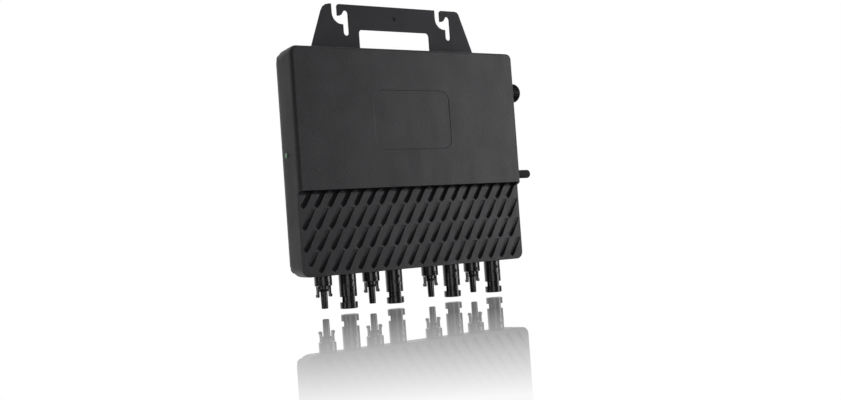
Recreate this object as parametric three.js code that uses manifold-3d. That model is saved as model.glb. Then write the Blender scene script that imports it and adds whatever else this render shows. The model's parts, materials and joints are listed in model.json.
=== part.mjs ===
// Micro inverter for roof-top solar panels: a cast housing with a ribbed lower face, a rear
// cover, a hook-slotted hanging bracket, four plug and four socket DC connectors along the
// bottom, an AC cable gland and an aerial on the right side, and the electronics inside.
// Millimetres. +X is to the right seen from the front, -Y is the front, +Z is up.
// The origin is on the back face of the bracket's top bar, above the middle of the housing.

import * as THREE from 'three';
import { mergeVertices } from 'three/addons/utils/BufferGeometryUtils.js';
import Module from 'manifold-3d';

const wasm = await Module();
wasm.setup();

// ---------------------------------------------------------------- driving dimensions

const GAP = 0.3; // clearance between pieces that touch or seat on one another
const OVERCUT = 1; // how far a cutting body runs past the face that it cuts

// housing, measured from its front face (y = 0), its middle (x = 0) and its foot (z = 0)
const WIDTH = 281;
const HEIGHT = 231;
const DEPTH = 41.3; // front face to the back of the rear cover
const BACK_ROUND = 6; // how far in front of the open rim the back edge starts to round
const RIM_INSET = 2.8; // how far the open rim lies inside the sides
const WALL = 6;
const PANEL_WALL = 3;
const FRONT_CORNER = 5; // corner radius of the front face
const RIM_CORNER = 13; // corner radius of the open rim
const SHOULDER_INSET = 2.2; // how far the front face lies inside the rim's outline
const STEP_DEPTH = 6.8; // how far the ribbed lower face lies behind the front face
const STEP_TOP = 85.8; // height of the step where it leaves the front face
const STEP_DROP = 2.9; // how far the step falls on its way back
const LAND_WALL = 6.6; // casting thickness behind the ribbed face
const CAVITY_CORNER = 9;

// blank badge field on the front face
const BADGE_WIDTH = 96;
const BADGE_HEIGHT = 62;
const BADGE_CORNER = 10;
const BADGE_DROP = 75; // housing's top to its middle
const BADGE_DEPTH = 0.5;

// slanted cooling slots
const SLOT_PITCH_X = 15.32;
const SLOT_PITCH_Z = 21.7;
const SLOT_EDGE = 5.8; // housing's left side to the first tips
const SLOT_END_EDGE = 1.2; // least distance from the last slots to the right side
const SLOT_FOOT_Z = 3.1; // height of the lowest row's tips
const SLOT_HALF_WIDTH = 3.25; // at the foot
const SLOT_TOP_HALF_WIDTH = 2.6;
const SLOT_TIP_DROP = 3; // height of the pointed foot
const SLOT_RISE = 21; // tip to top end
const SLOT_LEAN = 0.6; // sideways run for each unit of rise
const SLOT_TOP_DEPTH = 0.6;
const SLOT_FOOT_DEPTH = 4.4;
const SHORT_SLOT_CUT = 7; // the slot in the foot's left corner stops this much higher
const NOTCH_HEIGHT = 3.4; // horizontal notch under the step
const NOTCH_RIB = 2.2; // slanted rib left between two notches

// screw bosses and their screws
const BOSS_RADIUS = 5;
const BOSS_SINK = 3; // how far a boss is sunk in the side wall
const BOSS_RISE = 19.7; // middle bosses above the aerial's axis
const COVER_SCREW_RADIUS = 2;
const COVER_SCREW_LENGTH = 14;
const COVER_SCREW_HEAD_RADIUS = 3.6;
const COVER_SCREW_HEAD_HEIGHT = 2.4;

// rear cover and gasket
const GASKET_THICKNESS = 0.8;
const GASKET_WIDTH = 2;
const GASKET_INSET = 3.6;
const COVER_THICKNESS = 3.9;
const COVER_INSET = 3.6; // cover's outline inside the housing's
const COVER_PAD = 3; // extra thickness inside, behind the bracket's screws
const COVER_EDGE = 1.6; // sloped edge round the cover's back

// hanging bracket
const BRACKET_THICKNESS = 2;
const BRACKET_CENTRE_X = 12.1; // the bracket sits to the right of the housing's middle
const BRACKET_RISE = 53.8; // above the housing's top
const BRACKET_TOP_HALF = 88;
const BRACKET_HALF = 107.8;
const BRACKET_DROP = 67; // housing's top to the bracket's foot
const BRACKET_FOOT_CORNER = 8;
const BRACKET_EAR_CORNER = 8;
const BRACKET_CORNER = 4;
const HANDLE_WIDTH = 91.5;
const HANDLE_RISE = 27.2; // the handle's top above the housing's
const HANDLE_SINK = 7; // the handle's foot below the housing's top
const HANDLE_CORNER = 4;
const PIT_RADIUS = 1.8; // blind punched pit between the hooks
const PIT_DEPTH = 1.3;
const PIT_RISE = 40.8;
const HOOK_SPACING = 133.7; // between the two bolt slots
const HOOK_MIDDLE_X = 5.5; // middle of the pair, from the bracket's own middle
const HOOK_SLOT_WIDTH = 6.6;
const HOOK_SLOT_DEPTH = 12.1; // ledge to the slot's foot
const HOOK_LEDGE_RISE = 32.3; // ledge that the bolt crosses, above the housing's top
const HOOK_GATE = 8.9; // ledge to the underside of the hook's nose
const HOOK_POCKET = 6; // nose's underside to the pocket's top
const HOOK_NOSE_OUT = 10; // outer side of the nose, from the slot's axis
const HOOK_NOSE_IN = 4.6; // inner side of the nose
const HOOK_NOSE_CHAMFER = 2;
const BRACKET_SCREW_RADIUS = 2.5;
const BRACKET_SCREW_HEAD_RADIUS = 4.6;
const BRACKET_SCREW_LENGTH = 6; // inside the cover
const BRACKET_SCREW_HALF_SPACING = 92;
const BRACKET_SCREW_DROPS = [19, 53]; // below the housing's top

// DC connectors
const CONNECTOR_BACK = 12; // connector axes in front of the open rim
const CONNECTOR_INNER = 23.2; // first connector each side of the middle
const CONNECTOR_END = 31.8; // last connector to the housing's side
const CONNECTORS_PER_SIDE = 4;
const NECK_RADIUS = 7; // threaded neck through the housing's floor
const NECK_INSIDE = 3; // how far the neck stands up inside
const COLLAR_RADIUS = 9;
const COLLAR_FOOT = -10.2;
const PIP_RADIUS = 1.8;
const PIP_Z = -7;
const PIP_OUT = 0.9;
const SHOULDER_RADIUS = 5.2;
const SHOULDER_FOOT = -14;
const NOSE_RADIUS = 3.7;
const NOSE_TIP_RADIUS = 3.45;
const NOSE_TIP = -33.2;
const NOSE_BORE = 2.85;
const CONTACT_WALL = 0.55;
const CONTACT_LENGTH = 14;
const CONTACT_INSET = 1.2; // contact's mouth behind the nose's tip
const LATCH_TIP = -21.6;
const LATCH_OUT = 7.7; // outer face of the arm, from the connector's axis
const LATCH_THICKNESS = 1.5;
const LATCH_WIDTH = 4.4;
const LATCH_BARB_OUT = 8.6;
const LATCH_BARB_HEIGHT = 3.4;
const SOCKET_BODY_FOOT = -23.3;
const SOCKET_WAIST_FOOT = -28.8;
const SOCKET_FOOT = -35.6;
const SOCKET_WAIST_RADIUS = 6.6;
const SOCKET_BORE = 4.3;
const SOCKET_BORE_TOP = -13;
const SOCKET_CHANNEL_HALF = 7.9;
const SOCKET_CHANNEL_WIDTH = 5.2;
const SOCKET_CHANNEL_TOP = -22.5;
const PIN_RADIUS = 2;
const PIN_TIP = -30.6;
const RIB_OUT = 0.7;
const RIB_WIDTH = 2.6;
const RIB_TOP = -10.8;
const RIB_FORK = -17.5;
const RIB_FORK_SPREAD = 4.6;
const RIB_FORK_WIDTH = 2;

// AC cable gland on the right side
const GLAND_BACK = 13.5; // gland's axis in front of the open rim
const GLAND_DROP = 42; // housing's top to the gland's axis
const GLAND_NECK_RADIUS = 8;
const GLAND_NECK_INSIDE = 4;
const GLAND_HEX_LIP = 1.25; // hexagon's corners outside the nut
const GLAND_HEX_LENGTH = 4;
const GLAND_BARREL_RADIUS = 8.6;
const GLAND_BARREL_LENGTH = 10.5;
const GLAND_BORE = 5.6;
const GLAND_NUT_WALL = 2.25; // nut's outside to the barrel
const GLAND_NUT_LENGTH = 15.2;
const GLAND_DOME = 6.5; // how much of the nut's length is domed
const GLAND_NUT_FLUTES = 10;
const GLAND_FLUTE_RADIUS = 1.1;
const GLAND_CABLE_RADIUS = 4.8;
const GLAND_NUT_END = 4.4; // thickness of the nut's end
const FLANGE_SEAL_THICKNESS = 1.2;
const CABLE_SEAL_LENGTH = 8;
const CABLE_SEAL_WALL = 1.6;

// aerial on the right side
const AERIAL_RISE = 10; // above the step
const AERIAL_RADIUS = 4.75;
const AERIAL_TIP = 31.9; // from the housing's side
const AERIAL_BASE_RADIUS = 7;
const AERIAL_BASE_LENGTH = 4.5;
const AERIAL_STEM_RADIUS = 3;
const AERIAL_STEM_INSIDE = 4;

// status lamp on the left side
const LAMP_RISE = 27.2; // above the aerial's axis
const LAMP_RADIUS = 1.8;
const LAMP_RIM_RADIUS = 2.6;
const LAMP_OUT = 0.9;

// electronics
const BOARD_THICKNESS = 1.6;
const BOARD_BACK_ROOM = 7.4; // board's front face to the open rim
const BOARD_SIDE_ROOM = 12.5; // board's edge to the side wall
const BOARD_FOOT_ROOM = 10; // board's lower edge to the bottom wall
const BOARD_TOP_ROOM = 9;
const POST_RADIUS = 4;
const POST_INSET = 10; // from the board's edges
const TRANSFORMER_SIZE = [36, 15, 32];
const TRANSFORMER_WAIST = 8;
const TRANSFORMER_RISE = 26.2; // middle above the step
const TRANSFORMER_EDGE = 20; // board's edge to the first transformer
const CAPACITOR_RADIUS = 6.3;
const CAPACITOR_LENGTH = 25;
const CAPACITOR_RISE = 36; // middle above the board's foot
const CAPACITOR_EDGE = 30.2; // board's edge to the first capacitor
const CHOKE_RADIUS = 17;
const CHOKE_BORE = 8;
const CHOKE_LENGTH = 14;
const CHOKE_EDGE = 34; // board's right edge to the choke's axis
const RELAY_SIZE = [29, 15, 13];
const RELAY_EDGE = 76;
const RELAY_RISE = 20; // above the choke's axis
const FILM_CAPACITOR_SIZE = [32, 18, 14];
const FILM_CAPACITOR_EDGE = 78;
const FILM_CAPACITOR_DROP = 8; // below the choke's axis
const RADIO_SIZE = [16, 3, 24];
const RADIO_EDGE = 11;
const RADIO_DROP = 12; // below the transformers' middle
const THERMAL_PAD_HEIGHT = 12;
const THERMAL_PAD_EDGE = 22; // board's edge to the pad's end
const THERMAL_PAD_DROP = 9.8; // middle below the step

const ARC_STEPS = 3; // an arc of an outline gets twice this many sides
const COARSE = 12; // sides of a full circle on bosses and screw holes
const ROUND = 16; // sides of a full circle on small turned pieces
const FINE = 24; // sides of a full circle on the larger ones

// ---------------------------------------------------------------- derived values

const HALF_WIDTH = WIDTH / 2;
const COVER_FRONT = DEPTH - COVER_THICKNESS;
const SHELL_DEPTH = COVER_FRONT - GASKET_THICKNESS - 2 * GAP; // front face to the open rim
const SIDE_DEPTH = SHELL_DEPTH - BACK_ROUND;
const BADGE_Z = HEIGHT - BADGE_DROP;

const SLOT_RUN = (SLOT_RISE - SLOT_TIP_DROP) * SLOT_LEAN; // sideways, foot to top end
const SLOT_REACH = SLOT_RUN + (SLOT_TOP_HALF_WIDTH - SLOT_HALF_WIDTH) / 2 + SLOT_TOP_HALF_WIDTH;
const SLOT_FIRST_TIP_X = SLOT_EDGE - HALF_WIDTH;
const SLOT_FIELD = WIDTH - SLOT_EDGE - SLOT_REACH - SLOT_END_EDGE;
const SLOT_COLUMNS = Math.floor(SLOT_FIELD / SLOT_PITCH_X) + 1;
const SLOT_ROWS = Math.floor((STEP_TOP - SLOT_FOOT_Z) / SLOT_PITCH_Z) + 1;

const BRACKET_FRONT = DEPTH + GAP;
const BRACKET_BACK = BRACKET_FRONT + BRACKET_THICKNESS;
const BRACKET_TOP = HEIGHT + BRACKET_RISE;
const BRACKET_FOOT_Z = HEIGHT - BRACKET_DROP;
const HANDLE_TOP = HEIGHT + HANDLE_RISE;
const HANDLE_FOOT = HEIGHT - HANDLE_SINK;
const PIT_Z = HEIGHT + PIT_RISE;
const HOOK_LEDGE = HEIGHT + HOOK_LEDGE_RISE;
const HOOK_SLOT_FOOT = HOOK_LEDGE - HOOK_SLOT_DEPTH;
const HOOK_NOSE_FOOT = HOOK_LEDGE + HOOK_GATE;
const HOOK_POCKET_TOP = HOOK_NOSE_FOOT + HOOK_POCKET;
const ORIGIN_Z = (BRACKET_TOP + HANDLE_TOP) / 2;

const CONNECTOR_Y = SHELL_DEPTH - CONNECTOR_BACK;
const CONNECTOR_PITCH = (HALF_WIDTH - CONNECTOR_END - CONNECTOR_INNER) / (CONNECTORS_PER_SIDE - 1);
const GLAND_Y = SHELL_DEPTH - GLAND_BACK;
const GLAND_Z = HEIGHT - GLAND_DROP;
const GLAND_NUT_RADIUS = GLAND_BARREL_RADIUS + GLAND_NUT_WALL;
const GLAND_HEX_RADIUS = GLAND_NUT_RADIUS + GLAND_HEX_LIP;
const AERIAL_Z = STEP_TOP + AERIAL_RISE;
const LAMP_Z = AERIAL_Z + LAMP_RISE;
const LAND_INSIDE = STEP_DEPTH + LAND_WALL;
const CAVITY_HALF = HALF_WIDTH - WALL;
const BOARD_FRONT = SHELL_DEPTH - BOARD_BACK_ROOM;
const BOARD_HALF_WIDTH = CAVITY_HALF - BOARD_SIDE_ROOM;
const BOARD_FOOT = WALL + BOARD_FOOT_ROOM;
const BOARD_TOP = HEIGHT - WALL - BOARD_TOP_ROOM;
const POST_X = BOARD_HALF_WIDTH - POST_INSET;
const TRANSFORMER_Z = STEP_TOP + TRANSFORMER_RISE;
const CAPACITOR_Z = BOARD_FOOT + CAPACITOR_RISE;
const CHOKE_X = BOARD_HALF_WIDTH - CHOKE_EDGE;
const CHOKE_Z = (TRANSFORMER_Z + TRANSFORMER_SIZE[2] / 2 + BOARD_TOP) / 2;
const BOSS_INSET = WALL + BOSS_RADIUS - BOSS_SINK;
const BOSS_X = HALF_WIDTH - BOSS_INSET;
const BOSS_ROWS = [BOSS_INSET + 1, AERIAL_Z + BOSS_RISE, HEIGHT - BOSS_INSET - 1];

// ---------------------------------------------------------------- finishes

function finish(color, roughness, metalness) {
  return new THREE.MeshStandardMaterial({ color, roughness, metalness });
}

const FINISH = {
  casting: () => finish(0x3a3b3e, 0.62, 0.35),
  plate: () => finish(0x45474b, 0.5, 0.6),
  moulding: () => finish(0x0c0c0d, 0.3, 0),
  rubber: () => finish(0x151515, 0.85, 0),
  steel: () => finish(0x9a9da1, 0.3, 1),
  tinned: () => finish(0xc9c6bd, 0.25, 1),
  board: () => finish(0x1d4a2c, 0.55, 0),
  ferrite: () => finish(0x2b2b2d, 0.7, 0.1),
  sleeve: () => finish(0x20222a, 0.45, 0),
  lens: () => finish(0x8fd6a0, 0.15, 0),
  pad: () => finish(0x8d9097, 0.9, 0),
};

// ---------------------------------------------------------------- solids

// Closed three.js geometry to a manifold solid, without its collapsed pole triangles.
function solid(geometry) {
  const bare = geometry.clone();
  bare.deleteAttribute('normal');
  bare.deleteAttribute('uv');
  const merged = mergeVertices(bare, 1e-4);
  const index = merged.index.array;
  const corners = [];
  for (let i = 0; i < index.length; i += 3) {
    const [a, b, c] = index.slice(i, i + 3);
    if (a !== b && b !== c && c !== a) corners.push(a, b, c);
  }
  return new wasm.Manifold(new wasm.Mesh({
    numProp: 3,
    vertProperties: new Float32Array(merged.attributes.position.array),
    triVerts: new Uint32Array(corners),
  }));
}

// Manifold solid back to a three.js geometry with flat faces.
function geometryOf(body) {
  const mesh = body.getMesh();
  const geometry = new THREE.BufferGeometry();
  geometry.setAttribute('position', new THREE.BufferAttribute(mesh.vertProperties, 3));
  geometry.setIndex(new THREE.BufferAttribute(mesh.triVerts, 1));
  return geometry;
}

function cut(body, cutters) {
  return cutters.reduce((rest, cutter) => rest.subtract(cutter), body);
}

function join(bodies) {
  return bodies.reduce((sum, body) => sum.add(body));
}

// Body of revolution about +Z from [radius, height] pairs that run upwards.
function turned(profile, sides = ROUND) {
  const points = profile.map(([radius, height]) => new THREE.Vector2(radius, height));
  const geometry = new THREE.LatheGeometry(points, sides);
  geometry.rotateX(Math.PI / 2);
  return geometry;
}

// Plain round bar about +Z between two heights.
function bar(radius, low, high, sides = ROUND) {
  return turned([[0, low], [radius, low], [radius, high], [0, high]], sides);
}

// Outline drawn in X and Z, extruded along +Y from one depth to another.
function plate(shape, front, back) {
  const geometry = new THREE.ExtrudeGeometry(shape, {
    depth: back - front, bevelEnabled: false, curveSegments: ARC_STEPS,
  });
  geometry.rotateX(Math.PI / 2);
  geometry.translate(0, back, 0);
  return geometry;
}

// Box from its lowest and highest corners.
function block(low, high) {
  const size = high.map((value, axis) => value - low[axis]);
  const geometry = new THREE.BoxGeometry(...size);
  geometry.translate(...low.map((value, axis) => value + size[axis] / 2));
  return geometry;
}

function polygon(points) {
  return new THREE.Shape(points.map(([x, z]) => new THREE.Vector2(x, z)));
}

function roundedRectangle(left, foot, right, top, radius) {
  const shape = new THREE.Shape();
  shape.moveTo(left + radius, foot);
  shape.lineTo(right - radius, foot);
  shape.absarc(right - radius, foot + radius, radius, -Math.PI / 2, 0, false);
  shape.lineTo(right, top - radius);
  shape.absarc(right - radius, top - radius, radius, 0, Math.PI / 2, false);
  shape.lineTo(left + radius, top);
  shape.absarc(left + radius, top - radius, radius, Math.PI / 2, Math.PI, false);
  shape.lineTo(left, foot + radius);
  shape.absarc(left + radius, foot + radius, radius, Math.PI, 1.5 * Math.PI, false);
  return shape;
}

// Rounded block whose outline changes with depth. Each ring gives its depth, how far it lies
// inside the WIDTH by HEIGHT outline, and its corner radius.
function ringedBlock(rings) {
  const radius = 1;
  const half = [2, 2];
  const shape = roundedRectangle(-half[0], -half[1], half[0], half[1], radius);
  const geometry = new THREE.ExtrudeGeometry(shape, {
    depth: rings.length - 1, steps: rings.length - 1, bevelEnabled: false, curveSegments: ARC_STEPS,
  });
  const outer = [WIDTH / 2, HEIGHT / 2];
  const position = geometry.attributes.position;
  for (let i = 0; i < position.count; i += 1) {
    const ring = rings[Math.round(position.getZ(i))];
    const place = [position.getX(i), position.getY(i)].map((value, axis) => {
      const round = Math.max(0, Math.abs(value) - (half[axis] - radius)) / radius;
      return Math.sign(value) * (outer[axis] - ring.inset - ring.corner * (1 - round));
    });
    position.setXYZ(i, place[0], ring.y, place[1] + HEIGHT / 2);
  }
  return wellFacing(geometry);
}

// Same geometry with its faces turned outwards.
function wellFacing(geometry) {
  const bare = geometry.index ? geometry.toNonIndexed() : geometry;
  const position = bare.attributes.position;
  const corner = [new THREE.Vector3(), new THREE.Vector3(), new THREE.Vector3()];
  let volume = 0;
  for (let i = 0; i < position.count; i += 3) {
    corner.forEach((point, k) => point.fromBufferAttribute(position, i + k));
    volume += corner[0].dot(corner[1].clone().cross(corner[2]));
  }
  if (volume > 0) return bare;
  for (let i = 0; i < position.count; i += 3) {
    corner.forEach((point, k) => point.fromBufferAttribute(position, i + k));
    position.setXYZ(i + 1, ...corner[2]);
    position.setXYZ(i + 2, ...corner[1]);
  }
  return bare;
}

function mesh(name, geometry, material) {
  const piece = new THREE.Mesh(geometry, material);
  piece.name = name;
  return piece;
}

// ---------------------------------------------------------------- housing

// Outline of one slanted slot, with its pointed foot at (x, z).
function slotOutline(x, z, lift) {
  const foot = SLOT_TIP_DROP + lift;
  const start = lift * SLOT_LEAN;
  const axis = SLOT_REACH - SLOT_TOP_HALF_WIDTH;
  return polygon([
    [x + start, z + lift],
    [x + start + SLOT_HALF_WIDTH, z + foot],
    [x + axis + SLOT_TOP_HALF_WIDTH, z + SLOT_RISE],
    [x + axis - SLOT_TOP_HALF_WIDTH, z + SLOT_RISE],
    [x + start - SLOT_HALF_WIDTH, z + foot],
  ]);
}

// Outline of a top-row slot, which ends in a horizontal notch under the step.
function notchedSlotOutline(x, z) {
  const rise = STEP_TOP - z;
  const right = (height) => x + SLOT_HALF_WIDTH + (height - SLOT_TIP_DROP) * SLOT_LEAN;
  const notchFoot = rise - NOTCH_HEIGHT;
  const notchEnd = (height) => right(height) - SLOT_PITCH_X + NOTCH_RIB;
  return polygon([
    [x, z],
    [x + SLOT_HALF_WIDTH, z + SLOT_TIP_DROP],
    [right(rise), z + rise],
    [notchEnd(rise), z + rise],
    [notchEnd(notchFoot), z + notchFoot],
    [right(notchFoot) - 2 * SLOT_TOP_HALF_WIDTH, z + notchFoot],
    [x - SLOT_HALF_WIDTH, z + SLOT_TIP_DROP],
  ]);
}

// Cutter for one slot: its floor runs from footDepth at the tip to topDepth at the top end.
function slotCutter(outline, tipZ, footDepth, topDepth) {
  const geometry = plate(outline, 0, 1);
  const position = geometry.attributes.position;
  for (let i = 0; i < position.count; i += 1) {
    const rise = (position.getZ(i) - tipZ) / SLOT_RISE;
    const floor = STEP_DEPTH + footDepth + (topDepth - footDepth) * rise;
    position.setY(i, position.getY(i) > 0.5 ? floor : -OVERCUT);
  }
  return solid(geometry);
}

function slotCutters() {
  const cutters = [];
  for (let row = 0; row < SLOT_ROWS; row += 1) {
    for (let column = 0; column < SLOT_COLUMNS; column += 1) {
      const x = SLOT_FIRST_TIP_X + column * SLOT_PITCH_X;
      const z = SLOT_FOOT_Z + row * SLOT_PITCH_Z;
      const underStep = row === SLOT_ROWS - 1;
      const lift = row === 0 && column === 0 ? SHORT_SLOT_CUT : 0;
      const outline = underStep ? notchedSlotOutline(x, z) : slotOutline(x, z, lift);
      const topDepth = underStep ? SLOT_FOOT_DEPTH : SLOT_TOP_DEPTH;
      cutters.push(slotCutter(outline, z, SLOT_FOOT_DEPTH, topDepth));
    }
  }
  return cutters;
}

// Everything in front of the ribbed lower face and its sloping step.
function stepCutter() {
  const slope = STEP_DROP / STEP_DEPTH;
  const profile = polygon([
    [-OVERCUT, -OVERCUT],
    [STEP_DEPTH, -OVERCUT],
    [STEP_DEPTH, STEP_TOP - STEP_DROP],
    [-OVERCUT, STEP_TOP + OVERCUT * slope],
  ]);
  const geometry = new THREE.ExtrudeGeometry(profile, {
    depth: WIDTH + 2 * OVERCUT, bevelEnabled: false,
  });
  geometry.rotateX(Math.PI / 2);
  geometry.rotateZ(Math.PI / 2);
  geometry.translate(-HALF_WIDTH - OVERCUT, 0, 0);
  return solid(wellFacing(geometry));
}

function bossPlaces() {
  return BOSS_ROWS.flatMap((z) => [[-BOSS_X, z], [BOSS_X, z]]);
}

function postPlaces() {
  const rows = [BOARD_FOOT + POST_INSET, BOARD_TOP - POST_INSET];
  return rows.flatMap((z) => [[-POST_X, z], [POST_X, z]]);
}

// Round bar along +Y.
function rod(x, z, radius, front, back, sides = COARSE) {
  const geometry = bar(radius, -back, -front, sides);
  geometry.rotateX(Math.PI / 2);
  geometry.translate(x, 0, z);
  return solid(geometry);
}

// Round bar along +X at one height.
function crossRod(y, z, radius, left, right, sides = ROUND) {
  const geometry = bar(radius, left, right, sides);
  geometry.rotateY(Math.PI / 2);
  geometry.translate(0, y, z);
  return solid(geometry);
}

function connectorPlaces() {
  const side = Array.from({ length: CONNECTORS_PER_SIDE }, (_, i) => CONNECTOR_INNER + i * CONNECTOR_PITCH);
  return [...side.map((x) => -x).reverse(), ...side];
}

function housingCavity() {
  const back = SHELL_DEPTH + OVERCUT;
  const top = HEIGHT - WALL;
  const upper = roundedRectangle(-CAVITY_HALF, WALL, CAVITY_HALF, top, CAVITY_CORNER);
  const upperPart = solid(plate(upper, PANEL_WALL, back));
  const shelf = STEP_TOP + PANEL_WALL;
  const belowStep = solid(block(
    [-HALF_WIDTH, 0, -OVERCUT], [HALF_WIDTH, LAND_INSIDE, shelf],
  ));
  return upperPart.subtract(belowStep);
}

function housing() {
  const rings = [
    { y: 0, inset: SHOULDER_INSET, corner: FRONT_CORNER },
    { y: 1.2, inset: SHOULDER_INSET * 0.42, corner: FRONT_CORNER + 1 },
    { y: 3.4, inset: SHOULDER_INSET * 0.12, corner: FRONT_CORNER + 2 },
    { y: STEP_DEPTH, inset: 0, corner: FRONT_CORNER + 3 },
    { y: SIDE_DEPTH, inset: 0, corner: RIM_CORNER },
    { y: (SIDE_DEPTH + SHELL_DEPTH) / 2, inset: RIM_INSET * 0.3, corner: RIM_CORNER },
    { y: SHELL_DEPTH, inset: RIM_INSET, corner: RIM_CORNER - 1 },
  ];
  const shell = solid(ringedBlock(rings)).subtract(housingCavity());
  const bosses = bossPlaces().map(([x, z]) => {
    const front = z < STEP_TOP ? LAND_INSIDE - OVERCUT : PANEL_WALL - OVERCUT;
    return rod(x, z, BOSS_RADIUS, front, SHELL_DEPTH);
  });
  const posts = postPlaces().map(([x, z]) => {
    const front = z < STEP_TOP ? LAND_INSIDE - OVERCUT : PANEL_WALL - OVERCUT;
    return rod(x, z, POST_RADIUS, front, BOARD_FRONT - GAP);
  });
  const body = join([shell, ...bosses, ...posts]);
  const screwHoles = bossPlaces().map(([x, z]) => rod(
    x, z, COVER_SCREW_RADIUS + GAP, SHELL_DEPTH - COVER_SCREW_LENGTH, SHELL_DEPTH + OVERCUT,
  ));
  const connectorHoles = connectorPlaces().map((x) => {
    const hole = bar(NECK_RADIUS + GAP, -OVERCUT, WALL + OVERCUT);
    hole.translate(x, CONNECTOR_Y, 0);
    return solid(hole);
  });
  const badge = solid(plate(roundedRectangle(
    -BADGE_WIDTH / 2, BADGE_Z - BADGE_HEIGHT / 2,
    BADGE_WIDTH / 2, BADGE_Z + BADGE_HEIGHT / 2, BADGE_CORNER,
  ), -OVERCUT, BADGE_DEPTH));
  const wallIn = HALF_WIDTH - WALL - OVERCUT;
  const wallOut = HALF_WIDTH + OVERCUT;
  const cast = cut(body, [
    stepCutter(),
    ...slotCutters(),
    ...screwHoles,
    ...connectorHoles,
    badge,
    crossRod(GLAND_Y, GLAND_Z, GLAND_NECK_RADIUS + GAP, wallIn, wallOut, FINE),
    crossRod(CONNECTOR_Y, AERIAL_Z, AERIAL_STEM_RADIUS + GAP, wallIn, wallOut),
    crossRod(CONNECTOR_Y, LAMP_Z, LAMP_RADIUS + GAP, -wallOut, -wallIn, COARSE),
  ]);
  return mesh('housing', geometryOf(cast), FINISH.casting());
}

// ---------------------------------------------------------------- cover, gasket and screws

function coverGasket() {
  const edge = GASKET_INSET;
  const inner = edge + GASKET_WIDTH;
  const outline = roundedRectangle(
    -HALF_WIDTH + edge, edge, HALF_WIDTH - edge, HEIGHT - edge, RIM_CORNER - edge,
  );
  outline.holes.push(roundedRectangle(
    -HALF_WIDTH + inner, inner, HALF_WIDTH - inner, HEIGHT - inner, RIM_CORNER - inner,
  ));
  const front = SHELL_DEPTH + GAP;
  const ring = solid(plate(outline, front, front + GASKET_THICKNESS));
  const eyes = bossPlaces().map(([x, z]) => rod(x, z, BOSS_RADIUS, front, front + GASKET_THICKNESS));
  const holes = bossPlaces().map(([x, z]) => rod(
    x, z, COVER_SCREW_RADIUS + GAP, front - OVERCUT, front + GASKET_THICKNESS + OVERCUT,
  ));
  return mesh('cover_gasket', geometryOf(cut(join([ring, ...eyes]), holes)), FINISH.rubber());
}

function bracketScrewPlaces() {
  return BRACKET_SCREW_DROPS.flatMap((drop) => [-1, 1].map((side) => (
    [BRACKET_CENTRE_X + side * BRACKET_SCREW_HALF_SPACING, HEIGHT - drop]
  )));
}

function rearCover() {
  const corner = RIM_CORNER - COVER_INSET;
  const body = solid(ringedBlock([
    { y: COVER_FRONT, inset: COVER_INSET, corner },
    { y: DEPTH - COVER_EDGE, inset: COVER_INSET, corner },
    { y: DEPTH, inset: COVER_INSET + COVER_EDGE, corner: corner - COVER_EDGE },
  ]));
  const headSeat = DEPTH - COVER_SCREW_HEAD_HEIGHT - GAP;
  const screwHoles = bossPlaces().flatMap(([x, z]) => [
    rod(x, z, COVER_SCREW_RADIUS + GAP, COVER_FRONT - OVERCUT, headSeat + OVERCUT),
    rod(x, z, COVER_SCREW_HEAD_RADIUS + GAP, headSeat, DEPTH + OVERCUT),
  ]);
  const pads = bracketScrewPlaces().map(([x, z]) => rod(
    x, z, BOSS_RADIUS, COVER_FRONT - COVER_PAD, COVER_FRONT + OVERCUT,
  ));
  const threads = bracketScrewPlaces().map(([x, z]) => rod(
    x, z, BRACKET_SCREW_RADIUS + GAP, DEPTH - BRACKET_SCREW_LENGTH - GAP, DEPTH + OVERCUT,
  ));
  const cover = cut(join([body, ...pads]), [...screwHoles, ...threads]);
  return mesh('rear_cover', geometryOf(cover), FINISH.casting());
}

// Screw along -Y whose head's back face is at y = 0; a star recess is cut in the head.
function screwBody(profile, recessDepth) {
  const shank = turned(profile, COARSE);
  shank.rotateX(-Math.PI / 2);
  const recess = new THREE.CylinderGeometry(1.5, 1.5, recessDepth + OVERCUT, 6);
  recess.translate(0, (OVERCUT - recessDepth) / 2, 0);
  return solid(wellFacing(shank)).subtract(solid(recess));
}

function coverScrews() {
  const headRadius = COVER_SCREW_HEAD_RADIUS;
  const body = screwBody([
    [0, -COVER_SCREW_LENGTH], [COVER_SCREW_RADIUS, -COVER_SCREW_LENGTH + 1],
    [COVER_SCREW_RADIUS, -COVER_SCREW_HEAD_HEIGHT], [headRadius, -COVER_SCREW_HEAD_HEIGHT],
    [headRadius, -0.5], [headRadius - 0.6, 0], [0, 0],
  ], 1.4);
  const geometry = geometryOf(body);
  return bossPlaces().map(([x, z], index) => {
    const screw = mesh(`cover_screw_${index + 1}`, geometry.clone(), FINISH.steel());
    screw.position.set(x, DEPTH, z);
    return screw;
  });
}

function bracketScrews() {
  const slope = BRACKET_SCREW_HEAD_RADIUS - BRACKET_SCREW_RADIUS;
  const body = screwBody([
    [0, -BRACKET_SCREW_LENGTH - BRACKET_THICKNESS],
    [BRACKET_SCREW_RADIUS, -BRACKET_SCREW_LENGTH - BRACKET_THICKNESS + 1],
    [BRACKET_SCREW_RADIUS, -slope], [BRACKET_SCREW_HEAD_RADIUS, 0], [0, 0],
  ], 1.2);
  const geometry = geometryOf(body);
  return bracketScrewPlaces().map(([x, z], index) => {
    const screw = mesh(`bracket_screw_${index + 1}`, geometry.clone(), FINISH.steel());
    screw.position.set(x, BRACKET_BACK - GAP, z);
    return screw;
  });
}

// ---------------------------------------------------------------- hanging bracket

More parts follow.
